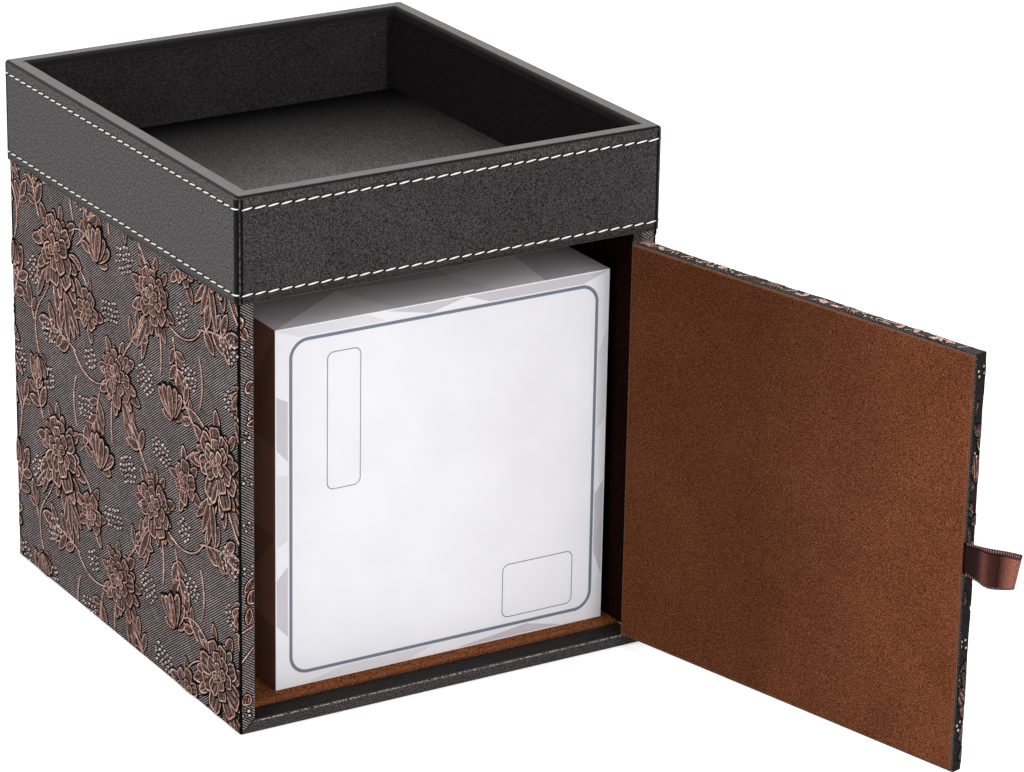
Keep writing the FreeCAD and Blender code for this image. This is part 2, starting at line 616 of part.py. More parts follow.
def make_ribbon():
    """The pull: a tail glued behind the lining, and the folded loop outside the door's edge."""
    low = "ribbon_height - ribbon_width / 2"
    root_y = "(%s - 2 * ribbon_thickness)" % DOOR_LINING_FACE
    tail = box("ribbon_tail", "ribbon_tail", "2 * ribbon_thickness", "ribbon_width")
    place_on_door(tail, "-" + DOOR_WIDTH, root_y, low)

    loop = new_body("ribbon_loop")
    outside = new_sketch(loop, "ribbon_loop_outside", "XY_Plane", None)
    shoulder = "-(ribbon_length - ribbon_tip_radius)"
    polygon(outside, [
        ("0", "-ribbon_thickness"),
        ("0", "ribbon_thickness"),
        ("-ribbon_parting", "ribbon_thickness"),
        (shoulder, "ribbon_tip_radius"),
        ("-ribbon_length", "ribbon_tip_radius"),
        ("-ribbon_length", "-ribbon_tip_radius"),
        (shoulder, "-ribbon_tip_radius"),
        ("-ribbon_parting", "-ribbon_thickness"),
    ])
    solid = pad(loop, outside, "ribbon_width")
    tip = -value_of("ribbon_length")
    fillet(loop, solid, "0.9 * ribbon_tip_radius",
           lambda edge: lies_at(edge, x=tip) and edge.BoundBox.ZLength > 1)
    gap = new_sketch(loop, "ribbon_loop_inside", "XY_Plane", None)
    inner = "(ribbon_tip_radius - ribbon_thickness)"
    end = "-(ribbon_length - ribbon_thickness)"
    polygon(gap, [
        ("-ribbon_parting", "0"),
        (shoulder, inner),
        (end, "0.4 * " + inner),
        (end, "-0.4 * " + inner),
        (shoulder, "-" + inner),
    ])
    pocket(loop, gap, backwards=True)
    place_on_door(loop, "-%s - door_free_gap / 2" % DOOR_WIDTH, root_y + " + ribbon_thickness", low)
    return [tail, loop]


# ---------------------------------------------------------------- refill


def make_carton():
    """The refill: a board carton with an oval mouth facing the outlet, and its tissues."""
    shell = new_body("carton_shell")
    half = "(carton_width / 2)"
    inside = "(carton_width / 2 - carton_board)"
    face = new_sketch(shell, "carton_face", "XZ_Plane", None)
    rectangle(face, "-" + half, "0", half, "carton_height")
    pad(shell, face, "carton_depth", backwards=True)
    hollow = new_sketch(shell, "carton_hollow", "XZ_Plane", "-carton_depth")
    rectangle(hollow, "-" + inside, "carton_board", inside, "carton_height - carton_board")
    pocket(shell, hollow, "carton_depth - carton_board", backwards=True)
    lid = new_sketch(shell, "carton_lid", "XZ_Plane", "carton_board - carton_depth")
    rectangle(lid, "-" + half, "0", half, "carton_height")
    round_slot(lid, "carton_height / 2", "carton_mouth_length", "carton_mouth_width")
    pad(shell, lid, "carton_board", backwards=True)
    middle = "%s + carton_room_left + carton_width / 2 - %s" % (OUTLET_INSET, HALF_WIDTH)
    place(shell, middle, "carton_setback - " + HALF_DEPTH, FLOOR_TOP + " + carton_lift")

    tissues = new_body("tissue_stack")
    fold = new_sketch(tissues, "tissue_stack_face", "XZ_Plane", None)
    side = "(%s - tissue_gap)" % inside
    rectangle(fold, "-" + side, "0", side, "carton_height - 2 * carton_board - 2 * tissue_gap")
    block = pad(tissues, fold, "carton_depth - 2 * carton_board - tissue_headroom", backwards=True)
    fillet(tissues, block, "tissue_radius", lambda edge: edge.BoundBox.YLength > 10)
    place(tissues, middle, "carton_setback + carton_board - " + HALF_DEPTH,
          FLOOR_TOP + " + carton_lift + carton_board + tissue_gap")
    return [shell, tissues]


# ---------------------------------------------------------------- build and write

parts = make_base()
parts += make_wall_boards()
parts.append(make_side_cover("left_cover", -1))
parts.append(make_side_cover("right_cover", 1))
parts.append(make_outlet_cover())
parts += make_band()
parts += make_tray()
parts += make_linings()
parts += make_door()
parts += make_hinge()
parts += make_magnets()
parts += make_ribbon()
parts += make_carton()
doc.recompute()

for thing in doc.Objects:
    if "Invalid" in thing.State or "Error" in thing.State:
        raise RuntimeError("%s did not build: %s" % (thing.Label, thing.State))
for part in parts:
    if part.Shape.isNull() or not part.Shape.isValid():
        raise RuntimeError("%s has no valid shape" % part.Label)

os.makedirs("parts", exist_ok=True)
for part in parts:
    part.Shape.exportStep("parts/%s.step" % part.Label)
    print("%-20s solids %d  volume %.1f" % (part.Label, len(part.Shape.Solids), part.Shape.Volume))
print("%d parts" % len(parts))
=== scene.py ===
"""Looks of the tissue box: embossed leathercloth, stitched leather, velour, satin and card.

Lengths are written in millimetres and become metres where a mesh is placed. The row frame has its
origin under the middle of the case, +Z up, and the door side towards -Y.
"""

import json
import math
import random
from functools import partialmethod

import bmesh
import bpy
from mathutils import Matrix, Vector


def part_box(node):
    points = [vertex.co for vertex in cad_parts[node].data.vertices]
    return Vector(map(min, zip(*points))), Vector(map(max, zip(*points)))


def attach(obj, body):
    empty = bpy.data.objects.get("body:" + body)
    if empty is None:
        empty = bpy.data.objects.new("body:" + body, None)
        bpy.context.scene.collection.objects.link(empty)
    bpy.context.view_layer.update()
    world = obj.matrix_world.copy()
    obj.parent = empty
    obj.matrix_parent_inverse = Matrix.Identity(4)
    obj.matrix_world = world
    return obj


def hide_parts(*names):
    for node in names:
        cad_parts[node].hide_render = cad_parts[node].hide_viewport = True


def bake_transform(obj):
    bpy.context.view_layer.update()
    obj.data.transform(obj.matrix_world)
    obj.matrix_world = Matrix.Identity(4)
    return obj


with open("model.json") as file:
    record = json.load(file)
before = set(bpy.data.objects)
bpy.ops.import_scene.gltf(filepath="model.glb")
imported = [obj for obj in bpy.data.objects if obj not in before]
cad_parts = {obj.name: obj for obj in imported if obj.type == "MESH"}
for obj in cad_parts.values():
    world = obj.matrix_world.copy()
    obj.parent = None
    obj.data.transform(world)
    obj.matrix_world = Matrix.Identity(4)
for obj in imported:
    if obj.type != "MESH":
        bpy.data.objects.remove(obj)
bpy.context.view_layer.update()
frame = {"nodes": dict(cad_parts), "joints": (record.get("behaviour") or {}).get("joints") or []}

MM = 0.001
SCALE = Matrix.Scale(MM, 4)

# ---- sizes of the box


def span(node):
    """Lowest and highest corner of a CAD node, in millimetres."""
    low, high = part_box(node)
    return low / MM, high / MM


BAND_LOW, BAND_HIGH = span("leather_band")
LEFT_LOW, LEFT_HIGH = span("left_cover")
CARTON_LOW, CARTON_HIGH = span("carton_shell")
FLOOR_LOW, FLOOR_HIGH = span("floor_lining")
DOOR_LOW, DOOR_HIGH = span("door_cover")
STRIP_LOW, STRIP_HIGH = span("hinge_strip_case")
BASE_LOW, BASE_HIGH = span("base_cover")

BAND_FOOT = BAND_LOW.z
HALF_WIDTH = span("right_cover")[1].x
HALF_DEPTH = -LEFT_LOW.y
WALL = LEFT_HIGH.x - LEFT_LOW.x
COVER = 0.7
BOARD = 3.0
DOOR_WIDTH = 125.35
DOOR_BOTTOM = DOOR_LOW.z
DOOR_TOP = DOOR_HIGH.z
DOOR_FACE = 0.25
DOOR_THICK = 4.5
DOOR_OPEN = 104.0
LEAF_WIDTH = 10.0

hinge_joint = [joint for joint in frame["joints"] if joint["name"] == "door_hinge"][0]
ribbon_joint = [joint for joint in frame["joints"] if joint["name"] == "ribbon_bend"][0]
HINGE = Vector(hinge_joint["pos_m"]) / MM
RIBBON_ROOT = Vector(ribbon_joint["pos_m"]) / MM

# From the closed door, measured from its hinge axis, to the row frame with the door open.
DOOR = (
    Matrix.Translation((HINGE.x, HINGE.y, 0))
    @ Matrix.Rotation(math.radians(DOOR_OPEN), 4, "Z")
)

# ---- camera and light


def add_camera():
    """The camera, by its place, its heading and its pitch."""
    data = bpy.data.cameras.new("camera")
    data.sensor_width = 36.0
    data.lens = CAMERA_LENS
    data.shift_x = CAMERA_SHIFT[0]
    data.shift_y = CAMERA_SHIFT[1]
    data.clip_start = 0.05
    data.clip_end = 50.0
    camera = bpy.data.objects.new("camera", data)
    bpy.context.scene.collection.objects.link(camera)
    heading, pitch, roll = CAMERA_TURN
    camera.matrix_world = (
        Matrix.Translation(CAMERA_PLACE)
        @ Matrix.Rotation(heading, 4, "Z")
        @ Matrix.Rotation(math.pi / 2 - pitch, 4, "X")
        @ Matrix.Rotation(roll, 4, "Z")
    )
    bpy.context.scene.camera = camera


CAMERA_PLACE = Vector((-0.5571, -1.0124, 0.5094))
CAMERA_TURN = (-0.5031, 0.355, 0.002)
CAMERA_LENS = 145.2
CAMERA_SHIFT = (0.183, -0.038)


def add_lamp(name, place, aim, size, power):
    """A square soft lamp that looks at a point."""
    data = bpy.data.lights.new(name, "AREA")
    data.size = size
    data.energy = power
    lamp = bpy.data.objects.new(name, data)
    bpy.context.scene.collection.objects.link(lamp)
    lamp.location = place
    lamp.rotation_euler = (Vector(aim) - Vector(place)).to_track_quat("-Z", "Y").to_euler()


def grey(value):
    return (value, value, value)


def add_node(tree, kind, *links, **values):
    """A node with its first inputs linked and others set by name."""
    made = tree.nodes.new(kind)
    for output, socket in zip(links, made.inputs):
        tree.links.new(output, socket)
    for name, value in values.items():
        made.inputs[name].default_value = value
    return made


def add_light():
    """A pale world and three soft lamps."""
    world = bpy.data.worlds.new("studio")
    bpy.context.scene.world = world
    world.use_nodes = True
    tree = world.node_tree
    tree.nodes.clear()
    paths = tree.nodes.new("ShaderNodeLightPath").outputs
    seen = add_node(tree, "ShaderNodeMath", paths["Is Camera Ray"], paths["Is Glossy Ray"])
    seen.operation = "MAXIMUM"
    ambient = add_node(tree, "ShaderNodeBackground", Color=WHITE, Strength=AMBIENT)
    white = add_node(tree, "ShaderNodeBackground", Color=WHITE, Strength=1.0)
    mix = add_node(tree, "ShaderNodeMixShader", seen.outputs[0], ambient.outputs[0], white.outputs[0])
    add_node(tree, "ShaderNodeOutputWorld", mix.outputs[0])
    middle = (0.0, -0.03, 0.07)
    for name, place, size, power in LAMPS:
        add_lamp(name, place, middle, size, power)


WHITE = (1.0, 1.0, 1.0, 1.0)
AMBIENT = 0.42
LAMPS = (
    ("overhead_lamp", (0.05, 0.15, 1.3), 1.1, 7.4),
    ("left_lamp", (-1.15, -0.35, 0.75), 0.8, 8.4),
    ("front_lamp", (0.05, -1.45, 0.85), 0.9, 12.9),
)
FLOOR_TONE = 0.84
FLOOR_GLOW = 0.52
FLOOR_DROP = 0.0003


def add_floor():
    """A pale floor that keeps the box's shadow."""
    bm = bmesh.new()
    bmesh.ops.create_grid(bm, x_segments=1, y_segments=1, size=6.0)
    mesh = plain_mesh(bm, "floor")
    floor = bpy.data.objects.new("floor", mesh)
    floor.location.z = -FLOOR_DROP
    bpy.context.scene.collection.objects.link(floor)
    material = bpy.data.materials.new("pale_floor")
    material.use_nodes = True
    tree = material.node_tree
    tree.nodes.clear()
    paths = tree.nodes.new("ShaderNodeLightPath").outputs
    matt = add_node(tree, "ShaderNodeBsdfDiffuse", Color=(*grey(FLOOR_TONE), 1.0))
    glow = add_node(tree, "ShaderNodeEmission", Color=WHITE, Strength=FLOOR_GLOW)
    lift = add_node(tree, "ShaderNodeAddShader", matt.outputs[0], glow.outputs[0])
    mix = add_node(tree, "ShaderNodeMixShader", paths["Is Camera Ray"], matt.outputs[0], lift.outputs[0])
    add_node(tree, "ShaderNodeOutputMaterial", mix.outputs[0])
    mesh.materials.append(material)


class Finish:
    """A material whose colour, roughness and bump come from nodes on Object coordinates."""

    def __init__(self, name, roughness=0.5, specular=0.5, metallic=0.0):
        self.material = bpy.data.materials.new(name)
        self.material.use_nodes = True
        self.tree = self.material.node_tree
        self.shader = self.tree.nodes["Principled BSDF"]
        self.shader.inputs["Roughness"].default_value = roughness
        self.shader.inputs["Specular IOR Level"].default_value = specular
        self.shader.inputs["Metallic"].default_value = metallic
        self.place = self.tree.nodes.new("ShaderNodeTexCoord").outputs["Object"]
        self.height = None
        self.colour = None

    def node(self, kind, **inputs):
        """A node with some of its inputs set or linked."""
        made = self.tree.nodes.new(kind)
        for key, value in inputs.items():
            self.feed(made.inputs[key], value)
        return made

    def feed(self, socket, value):
        """Links a socket to an output, or sets it."""
        if isinstance(value, bpy.types.NodeSocket):
            self.tree.links.new(value, socket)
        else:
            socket.default_value = value

    def sum(self, operation, first, second=0.0, third=0.0, clamp=False):
        """One step of arithmetic."""
        made = self.tree.nodes.new("ShaderNodeMath")
        made.operation = operation
        made.use_clamp = clamp
        for socket, value in zip(made.inputs, (first, second, third)):
            self.feed(socket, value)
        return made.outputs[0]

    times = partialmethod(sum, "MULTIPLY")
    scaled = partialmethod(sum, "MULTIPLY_ADD")
    plus = partialmethod(sum, "ADD")
    less = partialmethod(sum, "SUBTRACT")
    over = partialmethod(sum, "DIVIDE")
    most = partialmethod(sum, "MAXIMUM")

    def axes(self, place=None):
        """The three parts of a place."""
        return self.node("ShaderNodeSeparateXYZ", Vector=place or self.place).outputs

    def noise(self, size, detail=2.0, rough=0.55, place=None):
        """Noise whose grains are about size millimetres."""
        made = self.node("ShaderNodeTexNoise", Vector=place or self.place, Scale=1.0 / (size * MM),
                         Detail=detail, Roughness=rough)
        return made.outputs["Fac"]

    def ramp(self, share, *stops):
        """Colours or greys against a share from 0 to 1."""
        made = self.tree.nodes.new("ShaderNodeValToRGB")
        self.tree.links.new(share, made.inputs[0])
        points = made.color_ramp.elements
        while len(points) < len(stops):
            points.new(0.5)
        for point, (at, colour) in zip(points, stops):
            point.position = at
            point.color = (*colour, 1.0)
        return made.outputs[0]

    def fade(self, share, start, low, end, high):
        """A grey that runs from low to high between two shares."""
        return self.ramp(share, (start, grey(low)), (end, grey(high)))

    def mix(self, share, first, second):
        """Two colours by a share."""
        made = self.tree.nodes.new("ShaderNodeMix")
        made.data_type = "RGBA"
        for index, value in ((0, share), (6, first), (7, second)):
            self.feed(made.inputs[index], (*value, 1.0) if isinstance(value, tuple) else value)
        return made.outputs[2]

    def dot(self, place, way):
        """How far a place lies along a way."""
        made = add_node(self.tree, "ShaderNodeVectorMath", place)
        made.operation = "DOT_PRODUCT"
        made.inputs[1].default_value = way
        return made.outputs["Value"]

    def step(self, value, edge):
        """1 from an edge in millimetres onwards, else 0."""
        return self.sum("GREATER_THAN", value, edge * MM)

    def before(self, value, edge):
        """1 up to an edge in millimetres, else 0."""
        return self.sum("LESS_THAN", value, edge * MM)

    def band(self, value, low, high):
        """1 between two edges in millimetres, else 0."""
        return self.times(self.step(value, low), self.before(value, high))

    def near(self, value, line, reach):
        """1 on a line in millimetres, falling to 0 at a reach from it."""
        off = self.sum("ABSOLUTE", self.less(value, line * MM))
        return self.less(1.0, self.over(off, reach * MM), clamp=True)

    def wash(self, share, tone):
        """Lays a tone over the colour so far, by a share."""
        self.colour = self.mix(share, self.colour, tone)

    def done(self):
        """The material, with its colour linked."""
        self.tree.links.new(self.colour, self.shader.inputs["Base Color"])
        return self.material

    def roughness(self, output):
        self.tree.links.new(output, self.shader.inputs["Roughness"])

    def bump(self, height, depth, strength=1.0):
        """Adds a relief, its depth in millimetres, over those already there."""
        made = self.node("ShaderNodeBump", Height=height, Distance=depth * MM, Strength=strength)
        if self.height is not None:
            self.tree.links.new(self.height, made.inputs["Normal"])
        self.height = made.outputs[0]
        self.tree.links.new(self.height, self.shader.inputs["Normal"])


def leather_ground(finish, dark, light, grain, roughness):
    """Fine-grained leather: its colour and its speckle."""
    pores = finish.noise(grain, 2.0, 0.6)
    clouds = finish.noise(16.0, 2.0, 0.5)
    speckle = finish.noise(grain * 1.1, 1.0, 0.9)
    tone = finish.scaled(speckle, 0.94, finish.times(clouds, 0.06))
    finish.roughness(finish.fade(speckle, 0.4, roughness - 0.08, 0.62, roughness + 0.14))
    finish.bump(pores, 0.07, 0.8)
    middle = tuple(0.62 * low + 0.38 * high for low, high in zip(dark, light))
    return finish.ramp(tone, (0.40, dark), (0.50, middle), (0.62, light)), speckle


def leather_finish(name, dark, light, grain, roughness=0.42, specular=0.3, sill=False):
    """Plain leather. A sill's ledge is darkened with painted shade, and its top front edge carries a dotted
    painted highlight.
    """
    finish = Finish(name, roughness=roughness, specular=specular)
    finish.colour = leather_ground(finish, dark, light, grain, roughness)[0]
    if sill:
        y, z = finish.axes()[1:]
        # Painted shade darkens the sill's ledge.
        ledge = finish.step(z, BASE_HIGH.z - 0.25)
        finish.wash(finish.times(ledge, 0.72), (0.006, 0.004, 0.005))
        # A dotted painted highlight along the sill's top front edge.
        front = finish.before(y, BASE_LOW.y + 0.6)
        edge = finish.times(finish.near(z, BASE_HIGH.z - 0.22, 0.28), front)
        dots = finish.fade(finish.noise(0.45, 1.0, 0.6), 0.46, 0.0, 0.56, 0.8)
        finish.wash(finish.times(edge, dots), (0.55, 0.52, 0.50))
    return finish.done()


def band_finish(name, dark, light):
    """The band's leather: pulled-in seams, puckers, corner folds and a rolled rim, with painted shade,
    highlights and sheen.
    """
    finish = Finish(name, roughness=0.42, specular=0.05)
    finish.colour, speckle = leather_ground(finish, dark, light, 0.24, 0.42)
    x, y, z = finish.axes()
    side, depth = finish.sum("ABSOLUTE", x), finish.sum("ABSOLUTE", y)
    # Painted sheen: the band's side faces are paler, with a speckle.
    side_sheen = finish.ramp(finish.noise(0.60, 1.0, 0.9), (0.40, SIDE_SHEEN_LOW), (0.60, SIDE_SHEEN_HIGH))
    finish.wash(finish.step(side, BAND_HIGH.x - SIDE_SKIN), finish.mix(0.6, finish.colour, side_sheen))
    seam = finish.most(*[finish.near(z, row, SEAM_REACH) for row in STITCH_ROWS])
    finish.bump(finish.less(1.0, seam), 0.3, 0.7)
    # Painted shade in the seams' pulled-in grooves.
    finish.wash(finish.times(seam, 0.35), dark)
    pucker_front(finish, depth, z)
    # Painted shade darkens the band towards its foot, and a thin painted highlight lines its hem.
    under = finish.over(finish.less(z, BAND_FOOT * MM), HEM_SHADE * MM, clamp=True)
    finish.wash(finish.scaled(under, -0.6, 0.6), (0.008, 0.006, 0.007))
    finish.wash(finish.times(finish.before(z, BAND_FOOT + HEM), 0.55), PAINTED_GLINT)
    fold_corners(finish, side, depth, z)
    roll_rim(finish, x, y, z, side, depth, speckle)
    return finish.done()


def pucker_front(finish, depth, z):
    """Upright puckers in the strip between the upper stitches and the rolled rim, front and back, with
    painted highlights.
    """
    stretch = finish.node("ShaderNodeMapping", Vector=finish.place)
    stretch.inputs["Scale"].default_value = (1.0, 1.0, 0.3)
    puckers = finish.noise(0.45, 1.5, 0.6, place=stretch.outputs[0])
    drawn = finish.noise(26.0, 1.0, 0.5)
    strip = finish.band(z, STITCH_ROWS[0] + ROLL, BAND_HIGH.z - ROLL)
    strip = finish.times(strip, finish.step(depth, BAND_HIGH.y - 0.15))
    strip = finish.times(strip, finish.fade(drawn, 0.38, 0.25, 0.62, 1.0))
    finish.bump(finish.times(puckers, strip), 0.2, 0.7)
    # Painted highlights on the puckers.
    finish.wash(finish.times(strip, finish.fade(puckers, 0.50, 0.0, 0.66, 0.42)), PAINTED_GLINT)


def fold_corners(finish, side, depth, z):
    """A painted dark reflection in the fold at each corner, with a painted highlight along its crest."""
    round_corner = finish.less(finish.less(side, depth), (BAND_HIGH.x - BAND_HIGH.y) * MM)
    below = finish.before(z, BAND_HIGH.z - ROLL)
    outside = finish.most(finish.step(side, BAND_HIGH.x - FOLD_DEEP),
                          finish.step(depth, BAND_HIGH.y - FOLD_DEEP))
    below = finish.times(below, outside)
    fold = finish.times(finish.band(round_corner, *FOLD_SPAN), below)
    crest = finish.times(finish.near(round_corner, FOLD_CREST, 0.34), below)
    finish.bump(finish.plus(finish.less(1.0, fold), crest), 0.4, 0.8)
    # Painted dark reflection in the fold.
    finish.wash(finish.times(fold, 0.95), grey(0.002))
    # Painted highlight along the crest, made patchy by noise.
    patchiness = finish.fade(finish.noise(1.2, 2.0, 0.6), 0.40, 0.15, 0.60, 0.9)
    finish.wash(finish.times(crest, patchiness), PAINTED_GLINT)


def roll_rim(finish, x, y, z, side, depth, speckle):
    """The rolled rim: painted sheen on its top, a painted highlight by its inner edge, painted shade in its
    outer crease, and the dark return inside the tray.
    """
    inward = finish.sum("MINIMUM", finish.less(BAND_HIGH.x * MM, side), finish.less(BAND_HIGH.y * MM, depth))
    # Painted sheen makes the rim's top paler, and a painted highlight lines its inner edge.
    rolled = finish.ramp(speckle, (0.36, RIM_SHEEN_LOW), (0.64, RIM_SHEEN_HIGH))
    rolled = finish.mix(finish.near(inward, RIM_WIDE, 0.3), rolled, PAINTED_GLINT)
    on_top = finish.step(z, BAND_HIGH.z - 0.5)
    finish.wash(on_top, rolled)
    # Painted shade in the rim's outer crease.
    crease = finish.times(finish.fade(finish.over(inward, 2 * MM, clamp=True), 0.40, 0.95, 0.58, 0.0), on_top)
    finish.wash(crease, finish.mix(finish.step(depth, BAND_HIGH.y - 2), (0.020, 0.018, 0.018), grey(0.001)))
    inside = finish.times(finish.step(inward, RIM_WIDE - 0.1), finish.before(z, BAND_HIGH.z - 0.1))
    far = finish.most(finish.step(x, BAND_HIGH.x - RIM_WIDE - 0.5),
                      finish.step(y, BAND_HIGH.y - RIM_WIDE - 0.5))
    inside = finish.most(inside, finish.times(far, finish.step(inward, RIM_WIDE - 1.1)))
    finish.wash(inside, (0.016, 0.013, 0.014))


# Heights of the stitch rows, tones, and widths in millimetres on the band. The glint and sheen tones are
# painted light.
STITCH_ROWS = (156.8, 132.15)
PAINTED_GLINT = (0.22, 0.20, 0.20)
SIDE_SHEEN_LOW = (0.026, 0.023, 0.024)
SIDE_SHEEN_HIGH = (0.182, 0.170, 0.173)
RIM_SHEEN_LOW = (0.060, 0.055, 0.053)
RIM_SHEEN_HIGH = (0.260, 0.245, 0.238)
RIM_WIDE = 5.3
ROLL = 0.9
SIDE_SKIN = 0.3
SEAM_REACH = 0.8
HEM = 0.22
HEM_SHADE = 2.2
FOLD_SPAN = (-1.85, 2.0)
FOLD_CREST = -0.78
FOLD_DEEP = 0.85


def twill_finish(name, lean, turn=0.0, edge=None):
    """Embossed ground: fine pale diagonal ribs on near-black.

    Lean is the way across the ribs. Edge names what is done along the panel's corners.
    """
    finish = Finish(name, roughness=0.6, specular=0.01)
    place = finish.place
    if turn:
        mapping = finish.node("ShaderNodeMapping", Vector=place)
        mapping.vector_type = "TEXTURE"
        mapping.inputs["Location"].default_value = (HINGE.x * MM, HINGE.y * MM, 0)
        mapping.inputs["Rotation"].default_value = (0, 0, math.radians(turn))
        place = mapping.outputs[0]
    across = finish.dot(place, lean)
    along = finish.dot(place, (lean[1] + lean[0], lean[0], -0.56))
    wobble = finish.noise(7.0, 1.0, 0.5)
    phase = finish.scaled(across, 2 * math.pi / (TWILL_PITCH * MM), finish.times(wobble, 1.6))
    rib = finish.scaled(finish.sum("SINE", phase), 0.5, 0.5)
    turns = finish.times(along, 2 * math.pi / (TWILL_PITCH * 1.7 * MM))
    thread = finish.scaled(finish.sum("SINE", turns), 0.5, 0.5)
    fleck = finish.noise(0.6, 2.0, 0.7)
    patchiness = finish.noise(8.0, 2.0, 0.5)
    light = finish.fade(rib, 0.46, 0.0, 0.72, 1.0)
    light = finish.times(light, finish.fade(fleck, 0.36, 0.35, 0.62, 1.0))
    light = finish.times(light, finish.scaled(thread, 0.25, 0.75))
    light = finish.times(light, finish.scaled(patchiness, 0.7, 0.6), clamp=True)
    finish.colour = finish.mix(light, TWILL_DARK, TWILL_LIGHT)
    x, y, z = finish.axes(place)
    if edge == "case":
        side, depth = finish.sum("ABSOLUTE", x), finish.sum("ABSOLUTE", y)
        # Painted shade: a dark line down each upright corner of the case.
        corner = finish.times(finish.step(side, HALF_WIDTH - 0.5), finish.step(depth, HALF_DEPTH - 1.25))
        finish.wash(corner, grey(0.003))
        foot = finish.before(finish.plus(z, side), HALF_WIDTH + 0.2)
        foot = finish.times(foot, finish.step(depth, HALF_DEPTH - 0.05))
        finish.wash(foot, (0.022, 0.019, 0.018))
    if edge == "door":
        free_edge = finish.before(x, 0.08 - DOOR_WIDTH)
        folded = finish.times(finish.step(y, DOOR_FACE + 0.08), finish.scaled(free_edge, 0.36, 0.50))
        finish.wash(folded, (0.002, 0.003, 0.003))
    finish.bump(rib, 0.14, 0.8)
    finish.bump(fleck, 0.05, 0.6)
    return finish.done()


TWILL_PITCH = 0.667
TWILL_SLOPE = math.radians(33.7)
RUN, RISE = math.sin(TWILL_SLOPE), math.cos(TWILL_SLOPE)
TWILL_DARK = (0.006, 0.005, 0.005)
TWILL_LIGHT = (0.460, 0.392, 0.388)


def foil_finish(name, dark, middle, light, grain=0.5, roughness=0.42, veins=None):
    """Copper-coloured foil on the raised flowers, grained, its palest flecks painted glints, with veins on
    the shape's own map.
    """
    finish = Finish(name, roughness=roughness, specular=0.08, metallic=0.1)
    fleck = finish.noise(grain, 3.0, 0.7)
    wash = finish.noise(3.5, 2.0, 0.5)
    tone = finish.scaled(fleck, 0.7, finish.times(wash, 0.3))
    finish.colour = finish.ramp(tone, (0.38, dark), (0.5, middle), (0.64, light))
    if veins:
        lay = finish.node("ShaderNodeUVMap").outputs[0]
        u, v = finish.axes(lay)[:2]
        off = finish.sum("ABSOLUTE", finish.less(u, 0.5))
        if veins == "leaf":
            phase = finish.scaled(v, 26.0, finish.times(off, -32.0))
            spine = finish.sum("LESS_THAN", off, 0.07)
        else:
            phase = finish.scaled(off, 19.0, finish.scaled(fleck, 7.0, -2.2))
            spine = finish.sum("GREATER_THAN", v, 2.0)
        line = finish.ramp(finish.scaled(finish.sum("SINE", phase), 0.5, 0.5),
                           (0.32, grey(0.0)), (0.56, grey(1.0)))
        line = finish.most(line, spine)
        finish.wash(line, (0.014, 0.010, 0.010))
        finish.bump(finish.less(1.0, line), 0.12, 0.8)
    finish.roughness(finish.fade(fleck, 0.3, roughness + 0.15, 0.7, roughness - 0.1))
    finish.bump(fleck, 0.1, 0.9)
    return finish.done()


def velour_finish(name, dark, middle, light, sheen=0.0, roughness=0.95, grain=0.36, lay=None):
    """Short velour: mottled colour, a faint sheen and a fine nap.

    The lay paints shade into the colour: painted shade darkens the mat by the tray's walls and the tray's
    right wall, and darkens the door towards its hinge and its top, so that it is paler by its free edge.
    """
    finish = Finish(name, roughness=roughness, specular=0.0)
    nap = finish.noise(grain, 1.5, 0.8)
    clouds = finish.noise(22.0, 2.0, 0.5)
    tone = finish.scaled(nap, 0.93, finish.times(clouds, 0.07))
    finish.colour = finish.ramp(tone, (0.40, dark), (0.5, middle), (0.62, light))
    x, y, z = finish.axes()
    if lay == "mat":
        # Painted shade: the mat darkens towards the tray's back wall and its side walls.
        wall = HALF_WIDTH - 4
        back = finish.over(finish.less((HALF_DEPTH - 6) * MM, y), 130 * MM, clamp=True)
        left = finish.over(finish.plus(wall * MM, x), 22 * MM, clamp=True)
        right = finish.over(finish.less(wall * MM, x), 60 * MM, clamp=True)
        lit = finish.times(finish.sum("POWER", back, 1.25), finish.scaled(left, 0.5, 0.5))
        lit = finish.times(lit, finish.scaled(right, 0.62, 0.38))
        finish.colour = finish.mix(lit, grey(0.003), finish.colour)
    elif lay == "door":
        # Painted shade: the door darkens towards its hinge and its top.
        out = finish.over(finish.less(HINGE.y * MM, y), 125 * MM, clamp=True)
        low = finish.less(1.0, finish.over(z, 126 * MM, clamp=True))
        free_side = finish.less(out, 0.4, clamp=True)
        hinge_shade = finish.scaled(free_side, -1.05, finish.scaled(low, -0.10, 0.56), clamp=True)
        finish.wash(hinge_shade, (0.020, 0.007, 0.003))
    elif lay == "tray walls":
        # Painted shade darkens the tray's right wall.
        finish.wash(finish.times(finish.step(x, HALF_WIDTH - 7), 0.6), grey(0.002))
    finish.shader.inputs["Sheen Weight"].default_value = sheen
    finish.shader.inputs["Sheen Roughness"].default_value = 0.4
    finish.bump(nap, 0.12, 0.8)
    return finish.done()


def card_finish(name, tone, roughness=0.55):
    """Coated carton board, very slightly clouded."""
    finish = Finish(name, roughness=roughness, specular=0.4)
    clouds = finish.noise(18.0, 2.0, 0.5)
    low = tuple(channel * 0.95 for channel in tone)
    finish.colour = finish.ramp(clouds, (0.3, low), (0.7, tone))
    finish.bump(finish.noise(0.6, 2.0, 0.6), 0.01, 0.3)
    return finish.done()


